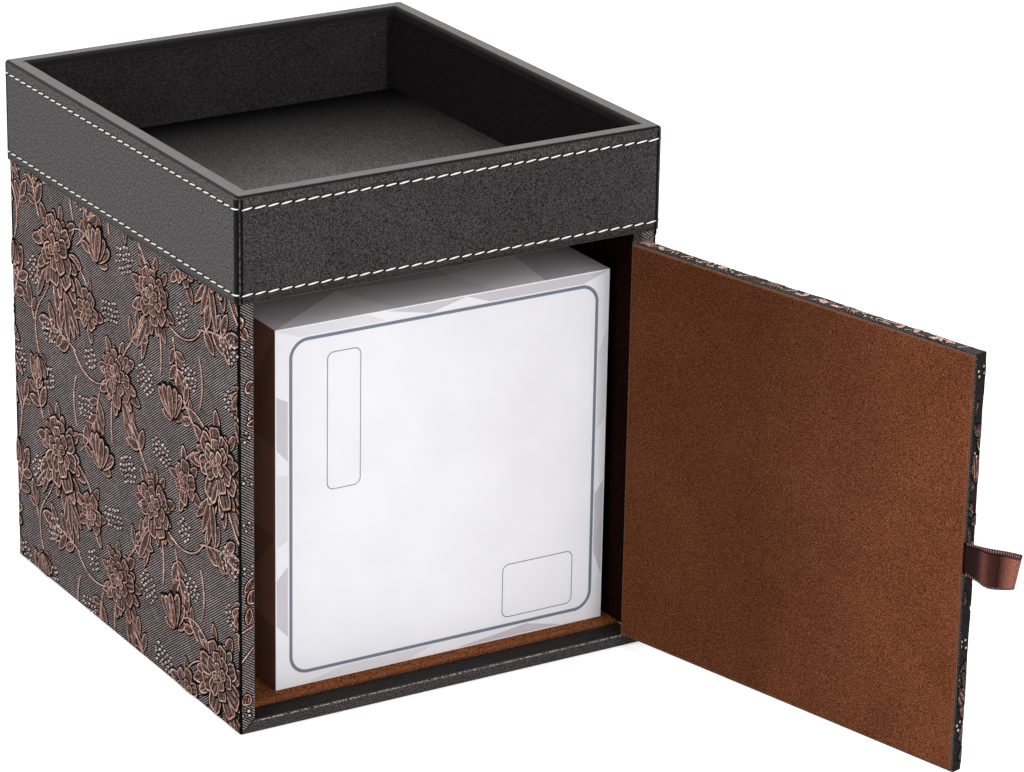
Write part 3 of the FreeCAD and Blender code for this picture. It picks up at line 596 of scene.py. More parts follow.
def ribbon_finish(name):
    """Brown satin: painted shade by its root, painted highlights towards its fold, a painted dark line under
    its top edge, and fine lengthwise threads.
    """
    finish = Finish(name, roughness=0.38, specular=0.08)
    lay = finish.node("ShaderNodeUVMap").outputs[0]
    along, across = finish.axes(lay)[:2]
    threads = finish.node("ShaderNodeMapping", Vector=lay)
    threads.inputs["Scale"].default_value = (46.0, 26.0, 1.0)
    weave = finish.node("ShaderNodeTexNoise", Vector=threads.outputs[0], Scale=1.0, Detail=2.0).outputs["Fac"]
    # Painted light and shade along the ribbon: dark by the root, a painted highlight a third of the way out,
    # and painted highlights towards the fold.
    base = finish.ramp(
        along, (0.0, (0.018, 0.004, 0.004)), (0.20, (0.026, 0.007, 0.006)), (0.34, (0.190, 0.062, 0.046)),
        (0.46, (0.075, 0.021, 0.015)), (0.62, (0.030, 0.008, 0.006)), (0.76, (0.260, 0.088, 0.064)),
        (0.92, (0.450, 0.158, 0.118)), (1.0, (0.330, 0.110, 0.082)),
    )
    dim = finish.ramp(weave, (0.36, (0.10, 0.07, 0.07)), (0.62, (1.0, 1.0, 1.0)))
    woven = finish.mix(0.75, base, dim)
    woven.node.blend_type = "MULTIPLY"
    rim = finish.sum("GREATER_THAN", finish.sum("ABSOLUTE", finish.less(across, 0.5)), 0.445)
    picots = finish.sum("GREATER_THAN", finish.sum("SINE", finish.times(along, 150.0)), 0.35)
    edge = finish.mix(picots, (0.012, 0.005, 0.005), (0.300, 0.170, 0.150))
    # Painted shade: a dark line under the top edge, where the loop opens.
    top_edge_shade = finish.times(finish.sum("GREATER_THAN", across, 0.88), 0.8)
    finish.colour = woven
    finish.wash(top_edge_shade, (0.010, 0.003, 0.003))
    finish.wash(rim, edge)
    finish.shader.inputs["Anisotropic"].default_value = 0.5
    finish.bump(weave, 0.03, 0.5)
    return finish.done()


def board_finish(name):
    """Pressed fibreboard, which only a cut edge would show."""
    finish = Finish(name, roughness=0.8, specular=0.2)
    fibres = finish.noise(0.8, 4.0, 0.7)
    finish.colour = finish.ramp(fibres, (0.3, (0.30, 0.21, 0.13)), (0.7, (0.45, 0.33, 0.21)))
    finish.bump(fibres, 0.05, 0.5)
    return finish.done()


def magnet_finish(name):
    """Ground and plated bar magnets."""
    finish = Finish(name, roughness=0.3, specular=0.5, metallic=1.0)
    streaks = finish.noise(0.4, 3.0, 0.6)
    finish.colour = finish.ramp(streaks, (0.3, (0.50, 0.50, 0.52)), (0.7, (0.66, 0.66, 0.68)))
    finish.roughness(finish.fade(streaks, 0.3, 0.22, 0.7, 0.4))
    return finish.done()


def thread_finish(name):
    """White twisted thread."""
    finish = Finish(name, roughness=0.6, specular=0.3)
    twist = finish.noise(0.25, 2.0, 0.6)
    finish.colour = finish.ramp(twist, (0.3, (0.72, 0.70, 0.67)), (0.6, (0.92, 0.91, 0.88)))
    finish.shader.inputs["Sheen Weight"].default_value = 0.2
    finish.bump(twist, 0.05, 0.7)
    return finish.done()


band_leather = band_finish("band_leather", (0.003, 0.003, 0.003), (0.092, 0.080, 0.083))
base_leather = leather_finish(
    "base_leather", (0.002, 0.002, 0.002), (0.118, 0.102, 0.096), 0.32, 0.46, 0.02, sill=True,
)
# Near-black leather as painted shade: on the flanks of the raised shapes and the faces that close cut ones,
# round the berries, under the vines and in the stitches' needle holes.
painted_shade = leather_finish("painted_shade_leather", (0.002, 0.003, 0.003), (0.014, 0.016, 0.016), 0.5, 0.6, 0.0)
twill_left = twill_finish("embossed_ground_left", (RUN, RUN, RISE), edge="case")
twill_right = twill_finish("embossed_ground_right", (RUN, -RUN, RISE), edge="case")
twill_outlet = twill_finish("embossed_ground_outlet", (RUN, RUN, RISE))
twill_door = twill_finish("embossed_ground_door", (-RUN, RISE, RISE), turn=DOOR_OPEN, edge="door")
twill_strip = twill_finish("embossed_ground_hinge_strip", (-RUN, RISE, RISE), turn=DOOR_OPEN)
# The rim foil's paler tones are its copper with painted highlight, where the raised edges catch the light.
foil_rim = foil_finish(
    "foil_rim", (0.240, 0.105, 0.076), (0.500, 0.255, 0.195), (0.950, 0.720, 0.640), 0.7, 0.30,
)
foil_petal = foil_finish(
    "foil_petal", (0.010, 0.004, 0.003), (0.150, 0.064, 0.045), (0.660, 0.375, 0.300), 0.5, veins="petal",
)
foil_leaf = foil_finish(
    "foil_leaf", (0.018, 0.007, 0.005), (0.158, 0.066, 0.046), (0.570, 0.305, 0.235), 0.5, veins="leaf",
)
foil_vine = foil_finish(
    "foil_vine", (0.230, 0.115, 0.085), (0.480, 0.290, 0.235), (0.780, 0.580, 0.510), 0.8, 0.32,
)
foil_berry = foil_finish(
    "foil_berry", (0.260, 0.170, 0.150), (0.520, 0.390, 0.360), (0.860, 0.740, 0.710), 0.9, 0.30,
)
velour_door = velour_finish(
    "velour_door", (0.0475, 0.0136, 0.0057), (0.114, 0.036, 0.0153), (0.322, 0.113, 0.054),
    grain=0.26, lay="door",
)
# Paler velour on the pads' bevels: a painted highlight along their edges.
velour_edge_highlight = velour_finish(
    "velour_edge_highlight", (0.080, 0.026, 0.012), (0.160, 0.056, 0.028), (0.230, 0.090, 0.048), 0.1,
)
velour_floor = velour_finish(
    "velour_floor", (0.030, 0.007, 0.002), (0.120, 0.033, 0.010), (0.380, 0.140, 0.052), grain=0.30,
)
velour_walls = velour_finish(
    "velour_walls", (0.050, 0.015, 0.006), (0.115, 0.038, 0.016), (0.190, 0.068, 0.030),
)
# A near-black copy of the wall velour: painted shade on the compartment's right lining.
velour_shade = velour_finish(
    "velour_walls_painted_shade", (0.003, 0.001, 0.001), (0.008, 0.003, 0.002), (0.016, 0.006, 0.004),
)
tray_velour = velour_finish(
    "tray_velour", (0.010, 0.008, 0.008), (0.022, 0.018, 0.019), (0.046, 0.040, 0.042),
    grain=0.28, lay="tray walls",
)
mat_velour = velour_finish(
    "mat_velour", (0.110, 0.098, 0.094), (0.230, 0.210, 0.204), (0.430, 0.400, 0.390),
    roughness=0.8, grain=0.34, lay="mat",
)
card_white = card_finish("card_white", (0.86, 0.86, 0.90))
card_pale = card_finish("card_pale_grey", (0.74, 0.74, 0.78))
card_grey = card_finish("card_grey", (0.60, 0.58, 0.62))
card_deep = card_finish("card_deep_grey", (0.42, 0.36, 0.345))
# The brown tones are painted shade on the carton's left side, tinted by light reflected from the brown
# lining.
card_shade_brown = card_finish("card_shade_brown", (0.300, 0.150, 0.105))
card_shade_umber = card_finish("card_shade_umber", (0.220, 0.105, 0.070))
card_line = card_finish("card_line", (0.165, 0.200, 0.250))
tissue_paper = card_finish("tissue_paper", (0.82, 0.82, 0.82), 0.9)
satin = ribbon_finish("ribbon_satin")
thread = thread_finish("thread")
board = board_finish("fibreboard")
magnet = magnet_finish("magnet")

CAD_FINISHES = {
    node: finish
    for nodes, finish in (
        ("base_board left_board right_board outlet_board", board),
        ("tray_front_board tray_floor_board door_board", board),
        ("base_cover", base_leather),
        ("left_cover", twill_left),
        ("right_cover", twill_right),
        ("outlet_cover", twill_outlet),
        ("leather_band", band_leather),
        ("tray_wall_lining", tray_velour),
        ("tray_mat", mat_velour),
        ("floor_lining", velour_floor),
        ("ceiling_lining left_lining outlet_lining", velour_walls),
        ("right_lining", velour_shade),
        ("hinge_strip_case hinge_strip_door", twill_strip),
        ("case_magnets door_magnets", magnet),
        ("door_cover", twill_door),
        ("door_lining", velour_door),
        ("ribbon_tail ribbon_loop", satin),
        ("carton_shell", card_white),
        ("tissue_stack", tissue_paper),
    )
    for node in nodes.split()
}


def dress_cad_nodes():
    """Gives every CAD node its finish."""
    for name, node in frame["nodes"].items():
        if node.data.materials:
            for index in range(len(node.data.materials)):
                node.data.materials[index] = CAD_FINISHES[name]
        else:
            node.data.materials.append(CAD_FINISHES[name])


# ---- making pieces


def finish_piece(bm, name, body, materials, replaced=(), smooth=True):
    """Turns a mesh in millimetres into a piece in metres. It rides on a body, if one is given."""
    bmesh.ops.transform(bm, matrix=SCALE, verts=bm.verts)
    mesh = plain_mesh(bm, name)
    for material in materials:
        mesh.materials.append(material)
    if smooth:
        mesh.shade_smooth()
    piece = bpy.data.objects.new(name, mesh)
    bpy.context.scene.collection.objects.link(piece)
    if body:
        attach(piece, body)
    if replaced:
        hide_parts(*replaced)
    return piece


def plain_mesh(bm, name):
    """Turns a working mesh into a mesh and lets go of it."""
    mesh = bpy.data.meshes.new(name)
    bm.to_mesh(mesh)
    bm.free()
    return mesh


def pick(items, kind):
    """The items of one kind."""
    return [item for item in items if isinstance(item, kind)]


def raise_faces(bm, faces, way):
    """Extrudes faces along a way, and gives the raised corners."""
    verts = pick(bmesh.ops.extrude_face_region(bm, geom=faces)["geom"], bmesh.types.BMVert)
    bmesh.ops.translate(bm, verts=verts, vec=way)
    return verts


def paint_round(verts, material):
    """Gives a material to every face that touches the corners."""
    for vert in verts:
        for side in vert.link_faces:
            side.material_index = material


def block(low, high):
    """A plain block between two corners."""
    bm = bmesh.new()
    bmesh.ops.create_cube(bm, size=1.0)
    bmesh.ops.scale(bm, verts=bm.verts, vec=high - low)
    bmesh.ops.translate(bm, verts=bm.verts, vec=(low + high) / 2)
    return bm


def stamp(bm, shape, matrix):
    """Adds a copy of a small shape to a larger mesh."""
    copy = shape.copy()
    copy.transform(matrix)
    bm.from_mesh(copy)
    bpy.data.meshes.remove(copy)


# ---- embossing


class Face:
    """A flat stretch of cover, with u to the right and v up in millimetres, seen from outside."""

    def __init__(self, name, body, corner, across, width, height, up=(0, 0, 1), hole=None, rise=1.0,
                 foils=None):
        across, up = Vector(across), Vector(up)
        place = Matrix((across, up, across.cross(up))).transposed().to_4x4()
        place.translation = Vector(corner)
        self.place = DOOR @ place if body == "door" else place
        self.name, self.body = name, body
        self.width, self.height = width, height
        self.hole, self.rise = hole, rise
        self.foils = foils or (foil_rim, foil_petal, painted_shade, foil_leaf)
        self.berries_end = width - HINGE_ROOM if name == "door" else width + 1

    def clear_of_hole(self, u, v, reach):
        """Whether a shape of that reach stays off the outlet."""
        if self.hole is None:
            return True
        middle_u, middle_v, half_length, half_width = self.hole
        beyond = max(abs(u - middle_u) - (half_length - half_width), 0)
        return math.hypot(beyond, v - middle_v) > half_width + reach


HINGE_ROOM = 5.0


class Petal:
    """A raised petal or leaf, from its foot at the origin to its tip up +Y."""

    def __init__(self, name, length, width, blunt, taper=0.0, notch=0.0, fill=1):
        self.length = length
        self.bm = bmesh.new()
        lay = self.bm.loops.layers.uv.new("lay")
        bmesh.ops.create_circle(self.bm, cap_ends=True, radius=1.0, segments=12)
        for vert in self.bm.verts:
            reach = (vert.co.y + 1) / 2
            wide = abs(vert.co.x) ** blunt * (1 - taper + 2 * taper * reach)
            vert.co.x = math.copysign(wide, vert.co.x) * (width / 2 + FLANK)
            vert.co.y = reach * (length + 2 * FLANK) - FLANK
            if reach > 0.99:
                vert.co.y -= notch * length
        self.top = self.bm.faces[:]
        # The skirt and the sloping flank take material 2, painted shade round the raised shape.
        self.grow(1.0, 1.0, SKIRT, 2, keep=True)
        self.grow(width / (width + 2 * FLANK), length / (length + 2 * FLANK), PETAL_RISE, 2)
        self.grow(1 - 2 * RIM / width, 1 - 2.6 * RIM / length, -0.03, 0)
        poked = bmesh.ops.poke(self.bm, faces=self.top, offset=0.05)
        for face in poked["faces"]:
            face.material_index = fill
        bmesh.ops.translate(self.bm, verts=self.bm.verts, vec=(0, 0, -SKIRT))
        bmesh.ops.recalc_face_normals(self.bm, faces=self.bm.faces)
        for face in self.bm.faces:
            face.smooth = face.material_index != 2
            for loop in face.loops:
                loop[lay].uv = (loop.vert.co.x / width + 0.5, loop.vert.co.y / length)
        self.mesh = plain_mesh(self.bm, name)

    def grow(self, across, along, lift, material, keep=False):
        """Extrudes the top, drawing it in about its middle."""
        before = set(self.bm.faces)
        made = bmesh.ops.extrude_face_region(self.bm, geom=self.top)
        if not keep:
            bmesh.ops.delete(self.bm, geom=self.top, context="FACES_ONLY")
        verts = pick(made["geom"], bmesh.types.BMVert)
        middle = Matrix.Translation((0, -self.length / 2, 0))
        bmesh.ops.scale(self.bm, verts=verts, vec=(across, along, 1.0), space=middle)
        bmesh.ops.translate(self.bm, verts=verts, vec=(0, 0, lift))
        self.top = pick(made["geom"], bmesh.types.BMFace)
        for face in self.bm.faces:
            if face not in before:
                face.material_index = material


# Millimetres: the sloping flank, the part sunk in the cover, the rise, the rim and the step between rings.
FLANK = 0.78
SKIRT = 0.55
PETAL_RISE = 0.20
RIM = 0.44
RING_STEP = 0.15

PETALS = {
    "broad": Petal("broad_petal", 8.6, 6.4, 0.72, 0.22, 0.07),
    "full": Petal("full_petal", 7.0, 5.6, 0.70, 0.16, 0.09),
    "small": Petal("small_petal", 4.8, 4.2, 0.75, 0.12, 0.08),
    "slim": Petal("slim_petal", 10.5, 3.7, 0.85, 0.20),
    "leaf": Petal("leaf", 9.4, 4.3, 1.45, fill=3),
    "blade": Petal("blade", 14.5, 3.5, 1.35, fill=3),
}


def berry_shape(name, radius):
    """A small raised dot and a ring of painted shade round it."""
    bm = bmesh.new()
    bmesh.ops.create_uvsphere(bm, u_segments=7, v_segments=4, radius=radius)
    bmesh.ops.bisect_plane(bm, geom=bm.verts[:] + bm.edges[:] + bm.faces[:], plane_co=(0, 0, -0.1 * radius),
                           plane_no=(0, 0, -1), clear_outer=True)
    bmesh.ops.holes_fill(bm, edges=bm.edges[:])
    for face in bm.faces:
        face.smooth = True
    ring = bmesh.ops.create_circle(bm, cap_ends=True, radius=radius * 1.8, segments=7)
    verts = ring["verts"] + raise_faces(bm, ring["verts"][0].link_faces[:], (0, 0, 0.06))
    paint_round(verts, 1)
    bmesh.ops.translate(bm, verts=verts, vec=(0, 0, -0.03))
    bmesh.ops.recalc_face_normals(bm, faces=bm.faces)
    return plain_mesh(bm, name)


BERRY = berry_shape("berry", 0.47)
BERRY_GAP = (2.05, 1.75)
LEAF_GAP = 5.4
VINE_LIFT = 0.06
# Each vine layer: bevel depth, flattening and material; the wide flat one is painted shade.
VINE_LAYERS = ((0.26, 1.0, 0), (0.66, 0.1, 1))


class Embossing:
    """Raised flowers, leaves, vines and berries on one face."""

    def __init__(self, face, seed):
        self.face = face
        self.draw = random.Random(seed)
        self.raised = bmesh.new()
        self.raised.loops.layers.uv.new("lay")
        self.berries = bmesh.new()
        self.vines = []

    def petal(self, kind, u, v, turn, size=1.0, wide=1.0, ring=0.0):
        """One raised shape from its foot at u, v. Turn 0 points up, and turning is anticlockwise."""
        shape = PETALS[kind]
        reach = shape.length * size
        angle = math.radians(turn)
        tip = (u - math.sin(angle) * reach, v + math.cos(angle) * reach)
        if not (-reach < u < self.face.width + reach and -reach < v < self.face.height + reach):
            return
        spots = ((u, v), tip, ((u + tip[0]) / 2, (v + tip[1]) / 2))
        if not all(self.face.clear_of_hole(*spot, 1.5) for spot in spots):
            return
        lift = ring * RING_STEP + self.draw.uniform(-0.035, 0.035)
        stamp(self.raised, shape.mesh, (
            Matrix.Translation((u, v, lift))
            @ Matrix.Rotation(angle, 4, "Z")
            @ Matrix.Diagonal((size * wide, size, 1.0, 1.0))
        ))

    def vine(self, *points):
        self.vines.append([Vector((u, v, VINE_LIFT)) for u, v in points])

    def way(self, turn):
        """The direction of a turn on the face."""
        angle = math.radians(turn)
        return Vector((-math.sin(angle), math.cos(angle)))

    def sprig(self, u, v, turn, size=1.0, pairs=2, curl=0.0):
        """A stem with leaves in pairs and one at its end."""
        spot = Vector((u, v))
        points = [spot]
        heading = turn
        for step in range(pairs):
            heading += curl
            spot = spot + self.way(heading) * LEAF_GAP * size
            points.append(spot)
            for hand in (-1, 1):
                foot = spot - self.way(heading) * self.draw.uniform(0.6, 2.2) * size
                self.petal("leaf", *foot, heading + hand * self.draw.uniform(40, 62),
                           size * self.draw.uniform(0.66, 0.92), self.draw.uniform(0.85, 1.1))
        self.vine(*points)
        self.petal("leaf", *spot, heading + self.draw.uniform(-10, 10), size * 1.05)

    def berry_rows(self, u, v, turn, rows=4, count=6):
        """Berries in slanting rows that fill a lozenge."""
        side, up = self.way(turn - 90) * BERRY_GAP[0], self.way(turn) * BERRY_GAP[1]
        middle = Vector((u, v))
        for row in range(rows):
            number = count - abs(2 * row - rows + 1) // 2
            for index in range(number):
                spot = middle + side * (index - (number - 1) / 2) + up * (row - (rows - 1) / 2)
                spot += Vector((self.draw.uniform(-0.42, 0.42), self.draw.uniform(-0.36, 0.36)))
                if self.face.clear_of_hole(*spot, 1.2) and self.free(spot):
                    size = self.draw.uniform(0.88, 1.12)
                    stamp(self.berries, BERRY, Matrix.Translation((*spot, 0)) @ Matrix.Scale(size, 4))

    def free(self, spot):
        """Whether a berry lies on the face, and off the door's strip that comes up against the wall."""
        return -1 < spot.x < self.face.berries_end and -1 < spot.y < self.face.height + 1

    def whorl(self, u, v, kind, count, start, size, ring, droop=0.0, turn=0.0, spread=8.0):
        """Petals round a middle, longer the way they droop."""
        shift = self.draw.uniform(0, 360)
        for index in range(count):
            angle = shift + 360 / count * index + self.draw.uniform(-spread, spread)
            longer = 1.0 + droop * math.cos(math.radians(angle - turn))
            foot = Vector((u, v)) + self.way(angle) * start * size
            lean = angle + self.draw.uniform(-spread, spread)
            grown = size * longer * self.draw.uniform(0.88, 1.1)
            self.petal(kind, *foot, lean, grown, self.draw.uniform(0.88, 1.08) / math.sqrt(longer), ring)

    def bloom(self, u, v, turn, size=1.0):
        """A full many-petalled flower in a collar of leaves, its lower petals hanging."""
        self.whorl(u, v, "leaf", 8, 8.6, size * 0.95, 0.0, 0.25, turn, 12)
        self.whorl(u, v, "slim", 10, 5.6, size * 0.85, 1.0, 0.30, turn, 9)
        self.whorl(u, v, "broad", 8, 3.6, size * 0.95, 2.0, 0.18, turn, 9)
        self.whorl(u, v, "full", 6, 1.7, size * 0.92, 3.1, 0.10, turn)
        self.whorl(u, v, "small", 4, 0.4, size * 0.85, 4.2)
        self.whorl(u, v, "small", 2, 0.1, size * 0.5, 5.0)

    def rosette(self, u, v, size=1.0):
        """A small open flower."""
        self.whorl(u, v, "leaf", 5, 4.2, size * 0.85, 0.0, spread=14)
        self.whorl(u, v, "full", 6, 1.8, size * 0.85, 1.2)
        self.whorl(u, v, "small", 5, 0.5, size * 0.75, 2.4)
        self.whorl(u, v, "small", 2, 0.0, size * 0.45, 3.3)

    def tulip(self, u, v, turn, size=1.0):
        """A half-open flower: a fan of long petals over two sepals."""
        self.petal("leaf", u, v, turn + 74, size * 0.75)
        self.petal("leaf", u, v, turn - 74, size * 0.75)
        for angle, ring in ((-42, 1.0), (41, 1.1), (-22, 2.0), (23, 2.1), (0, 3.0)):
            self.petal("slim", u, v, turn + angle + self.draw.uniform(-3, 3),
                       size * self.draw.uniform(0.95, 1.12), 0.95, ring)

    def blades(self, u, v, turn, size=1.0, count=3):
        """Long narrow leaves that hang together."""
        for index in range(count):
            fan = (index - (count - 1) / 2) * 19
            lean = turn + fan + self.draw.uniform(-4, 4)
            self.petal("blade", u, v, lean, size * self.draw.uniform(0.85, 1.12), 1.0, 0.4 * (index % 2))

    def build(self, name):
        """Makes the pieces, cut off at the face's edges."""
        face = self.face
        made = ((self.raised, "flowers", face.foils), (self.berries, "berries", (foil_berry, painted_shade)),
                (self.grow_vines(), "vines", (foil_vine, painted_shade)))
        cuts = (((EDGE_MARGIN, 0, 0), (-1, 0, 0)), ((face.width - EDGE_MARGIN, 0, 0), (1, 0, 0)),
                ((0, EDGE_MARGIN, 0), (0, -1, 0)), ((0, face.height - EDGE_MARGIN, 0), (0, 1, 0)))
        for bm, kind, materials in made:
            # The faces that close the cuts take the painted shade.
            dark = materials.index(painted_shade)
            for place, normal in cuts:
                cut = bmesh.ops.bisect_plane(bm, geom=bm.verts[:] + bm.edges[:] + bm.faces[:], dist=1e-5,
                                             plane_co=place, plane_no=normal, clear_outer=True)
                fill_holes(bm, pick(cut["geom_cut"], bmesh.types.BMEdge), dark)
            fill_holes(bm, [edge for edge in bm.edges if edge.is_boundary], dark)
            bmesh.ops.recalc_face_normals(bm, faces=bm.faces)
            if not bm.verts:
                bm.free()
                continue
            bmesh.ops.scale(bm, verts=bm.verts, vec=(1.0, 1.0, face.rise))
            bmesh.ops.transform(bm, matrix=face.place, verts=bm.verts)
            finish_piece(bm, "%s_%s" % (name, kind), face.body, materials, smooth=False)

    def grow_vines(self):
        """All vines as one mesh: a thin raised line over a flat one of painted shade."""
        bm = bmesh.new()
        for depth, flat, material in VINE_LAYERS:
            curve = bpy.data.curves.new("vine", "CURVE")
            curve.dimensions = "3D"
            curve.bevel_depth = depth
            curve.bevel_resolution = 1
            curve.resolution_u = 5
            curve.use_fill_caps = True
            for points in self.vines:
                if not all(self.face.clear_of_hole(point.x, point.y, 1.0) for point in points):
                    continue
                line = curve.splines.new("NURBS")
                line.points.add(len(points) - 1)
                for spot, point in zip(line.points, points):
                    spot.co = (*point, 1.0)
                line.order_u = min(4, len(points))
                line.use_endpoint_u = True
            holder = bpy.data.objects.new("vine", curve)
            mesh = bpy.data.meshes.new_from_object(holder)
            mesh.transform(Matrix.Diagonal((1.0, 1.0, flat, 1.0)))
            before = len(bm.faces)
            bm.from_mesh(mesh)
            bm.faces.ensure_lookup_table()
            for face in bm.faces[before:]:
                face.material_index = material
                face.smooth = material == 0
            bpy.data.objects.remove(holder)
            bpy.data.curves.remove(curve)
            bpy.data.meshes.remove(mesh)
        bmesh.ops.remove_doubles(bm, verts=bm.verts, dist=1e-4)
        return bm


def fill_holes(bm, edges, material):
    """Closes the holes that edges run round."""
    for side in bmesh.ops.holes_fill(bm, edges=edges)["faces"]:
        side.material_index = material


EDGE_MARGIN = 0.35
REPEAT_U, REPEAT_V = 74.2, 64.8


def lay_repeat(work, u, v, flip):
    """One repeat of the pattern with its lower left corner at u, v."""

    def way(turn):
        return -turn if flip else turn

    def at(x, y, *turns):
        return (u + (REPEAT_U - x if flip else x), v + y, *map(way, turns))

    work.vine(at(23, 42), at(34, 56), at(44, 54), at(49, 47))
    work.vine(at(23, 42), at(38, 44), at(46, 36), at(44, 28))
    work.vine(at(62, 15), at(68, 28), at(78, 32), at(82, 42))
    work.vine(at(23, 42), at(16, 26), at(8, 22), at(4, 12), at(8, 4))
    work.vine(at(62, 15), at(50, 4), at(38, 6), at(32, 14))
    work.vine(at(62, 15), at(56, 4), at(58, -8))
    work.vine(at(34, 54), at(30, 62), at(34, 70))
    work.blades(*at(27, 30, 196), 1.0, 4)
    work.blades(*at(14, 33, 140), 0.85, 2)
    work.blades(*at(66, 6, 214), 0.9, 3)
    work.sprig(*at(36, 47, -62), 0.95, 2, way(9))
    work.sprig(*at(10, 48, 38), 1.0, 2, way(-10))
    work.sprig(*at(34, 13, 64), 1.0, 3, way(8))
    work.sprig(*at(70, 26, -24), 0.95, 2, way(-12))
    work.sprig(*at(50, 6, 150), 0.95, 2, way(10))
    work.sprig(*at(5, 14, 24), 0.8, 1)
    work.tulip(*at(50, 46, -12), 1.0)
    work.tulip(*at(8, 3, 196), 0.72)
    work.rosette(*at(43, 29), 0.92)
    work.bloom(*at(22, 42, 190), 1.02)
    work.bloom(*at(62, 15, 206), 0.80)
    work.berry_rows(*at(58, 33, 12), 4, 6)
    work.berry_rows(*at(68, 52, 20), 5, 6)
    work.berry_rows(*at(40, 62, 8), 4, 5)
    work.berry_rows(*at(6, 30, -14), 5, 5)
    work.berry_rows(*at(16, 14, 10), 5, 6)
    work.berry_rows(*at(44, 14, 24), 4, 4)
    work.berry_rows(*at(12, 62, 16), 4, 7)


def emboss(face, seed, shift_u=0.0, shift_v=0.0):
    """Covers a face with the repeat, each column half a repeat higher than the last."""
    work = Embossing(face, seed)
    columns = int(face.width / REPEAT_U) + 2
    rows = int(face.height / REPEAT_V) + 3
    for column in range(-1, columns):
        for row in range(-2, rows):
            rise = 0.5 * REPEAT_V if column % 2 else 0.0
            lay_repeat(work, shift_u + column * REPEAT_U, shift_v + rise + row * REPEAT_V, column % 2 == 1)
    work.build(face.name)


def emboss_edge(face, seed, crowd=1.0):
    """A narrow edge: cut pieces of petals, leaves and berries along it, crowd times as close as usual."""
    work = Embossing(face, seed)
    draw = work.draw
    long_side = max(face.width, face.height)
    at = draw.uniform(2, 7)
    while at < long_side - 3:
        off = draw.uniform(0.2, 0.8) * min(face.width, face.height)
        u, v = (off, at) if face.height > face.width else (at, off)
        choice = draw.random()
        if choice < 0.55:
            for number in range(draw.randint(2, 4)):
                kind = draw.choice(("slim", "full", "leaf", "leaf"))
                work.petal(kind, u + draw.uniform(-2.5, 2.5), v + draw.uniform(-4, 4), draw.uniform(0, 360),
                           draw.uniform(0.45, 0.85) / crowd ** 0.4, 1.0, number)
            at += draw.uniform(6, 11) / crowd
        elif choice < 0.75:
            work.berry_rows(u, v, draw.uniform(-30, 30), 2, 3)
            at += draw.uniform(7, 14) / crowd
        else:
            lean = draw.uniform(-3, 3)
            work.vine((u - 5, v - 4 + lean), (u, v), (u + 5, v + 3 - lean))
            at += draw.uniform(5, 9) / crowd
    work.build(face.name)


def emboss_all():
    """Every face and edge that the embossed cover shows."""
    left, right, front, back = -HALF_WIDTH, HALF_WIDTH, -HALF_DEPTH, HALF_DEPTH
    deep, wide, tall = 2 * HALF_DEPTH, 2 * (HALF_WIDTH - COVER), DOOR_TOP - DOOR_BOTTOM
    hole = (wide / 2, OUTLET_MIDDLE, *OUTLET_HALVES)
    emboss(Face("left", "case", (left, back, 0), (0, -1, 0), deep, BAND_FOOT), 11, 10, 4)
    emboss(Face("right", "case", (right, front, 0), (0, 1, 0), deep, BAND_FOOT), 12, -20, 30)
    corner = (right - COVER, back, 0)
    emboss(Face("outlet", "case", corner, (-1, 0, 0), wide, BAND_FOOT, hole=hole), 13, 6, -12)
    corner = (-DOOR_WIDTH, DOOR_FACE, DOOR_BOTTOM)
    emboss(Face("door", "door", corner, (1, 0, 0), DOOR_WIDTH - 1.4, tall), 14, -30, 12)
    emboss_edge(Face("left_front_edge", "case", (left, front, EDGE_FOOT), (1, 0, 0), WALL,
                     BAND_FOOT - EDGE_FOOT, rise=0.6), 21)
    emboss_edge(Face("door_free_edge", "door", (-DOOR_WIDTH, DOOR_FACE + DOOR_EDGE, DOOR_BOTTOM), (0, -1, 0),
                     DOOR_EDGE, tall, rise=0.35, foils=(foil_petal, foil_petal, painted_shade, foil_petal)), 22)
    emboss_edge(Face("door_top_edge", "door", (-DOOR_WIDTH, DOOR_FACE, DOOR_TOP), (1, 0, 0), DOOR_WIDTH - 0.5,
                     DOOR_EDGE, up=(0, 1, 0), rise=0.25, foils=(foil_rim, foil_leaf, painted_shade, foil_vine)),
                23, crowd=2.6)


OUTLET_MIDDLE = 60.0
OUTLET_HALVES = (38.0, 17.0)
EDGE_FOOT = 3.6
DOOR_EDGE = 3.7


# ---- stitching


def band_path(at):
    """Place and outward way on the band's outline, at a length from the middle of its front."""
    flat_x, flat_y, bend = BAND_HIGH.x - BAND_CORNER, BAND_HIGH.y - BAND_CORNER, BAND_CORNER
    quarter = math.pi / 2 * bend
    legs = (
        (flat_x, Vector((0, -BAND_HIGH.y)), 0.0),
        (2 * flat_y, Vector((BAND_HIGH.x, -flat_y)), 90.0),
        (2 * flat_x, Vector((flat_x, BAND_HIGH.y)), 180.0),
        (2 * flat_y, Vector((-BAND_HIGH.x, flat_y)), 270.0),
        (flat_x, Vector((-flat_x, -BAND_HIGH.y)), 360.0),
    )
    for length, start, turn in legs:
        heading = math.radians(turn)
        along = Vector((math.cos(heading), math.sin(heading)))
        outward = Vector((along.y, -along.x))
        if at <= length:
            return start + along * at, outward
        at -= length
        if at <= quarter:
            centre = start + along * length - outward * bend
            swung = math.radians(turn) + at / bend
            outward = Vector((math.sin(swung), -math.cos(swung)))
            return centre + outward * bend, outward
        at -= quarter
    return start + along * length, outward


BAND_CORNER = 1.4
STITCH_COUNT = 140


def bead(name, segments, rings, size, turn, slant):
    """A small rounded shape: turned before it's sized, and slanted after."""
    bm = bmesh.new()
    bmesh.ops.create_uvsphere(bm, u_segments=segments, v_segments=rings, radius=1.0)
    bmesh.ops.rotate(bm, verts=bm.verts, matrix=Matrix.Rotation(math.radians(turn), 3, "Y"))
    bmesh.ops.scale(bm, verts=bm.verts, vec=size)
    bmesh.ops.rotate(bm, verts=bm.verts, matrix=Matrix.Rotation(math.radians(slant), 3, "Y"))
    return plain_mesh(bm, name)


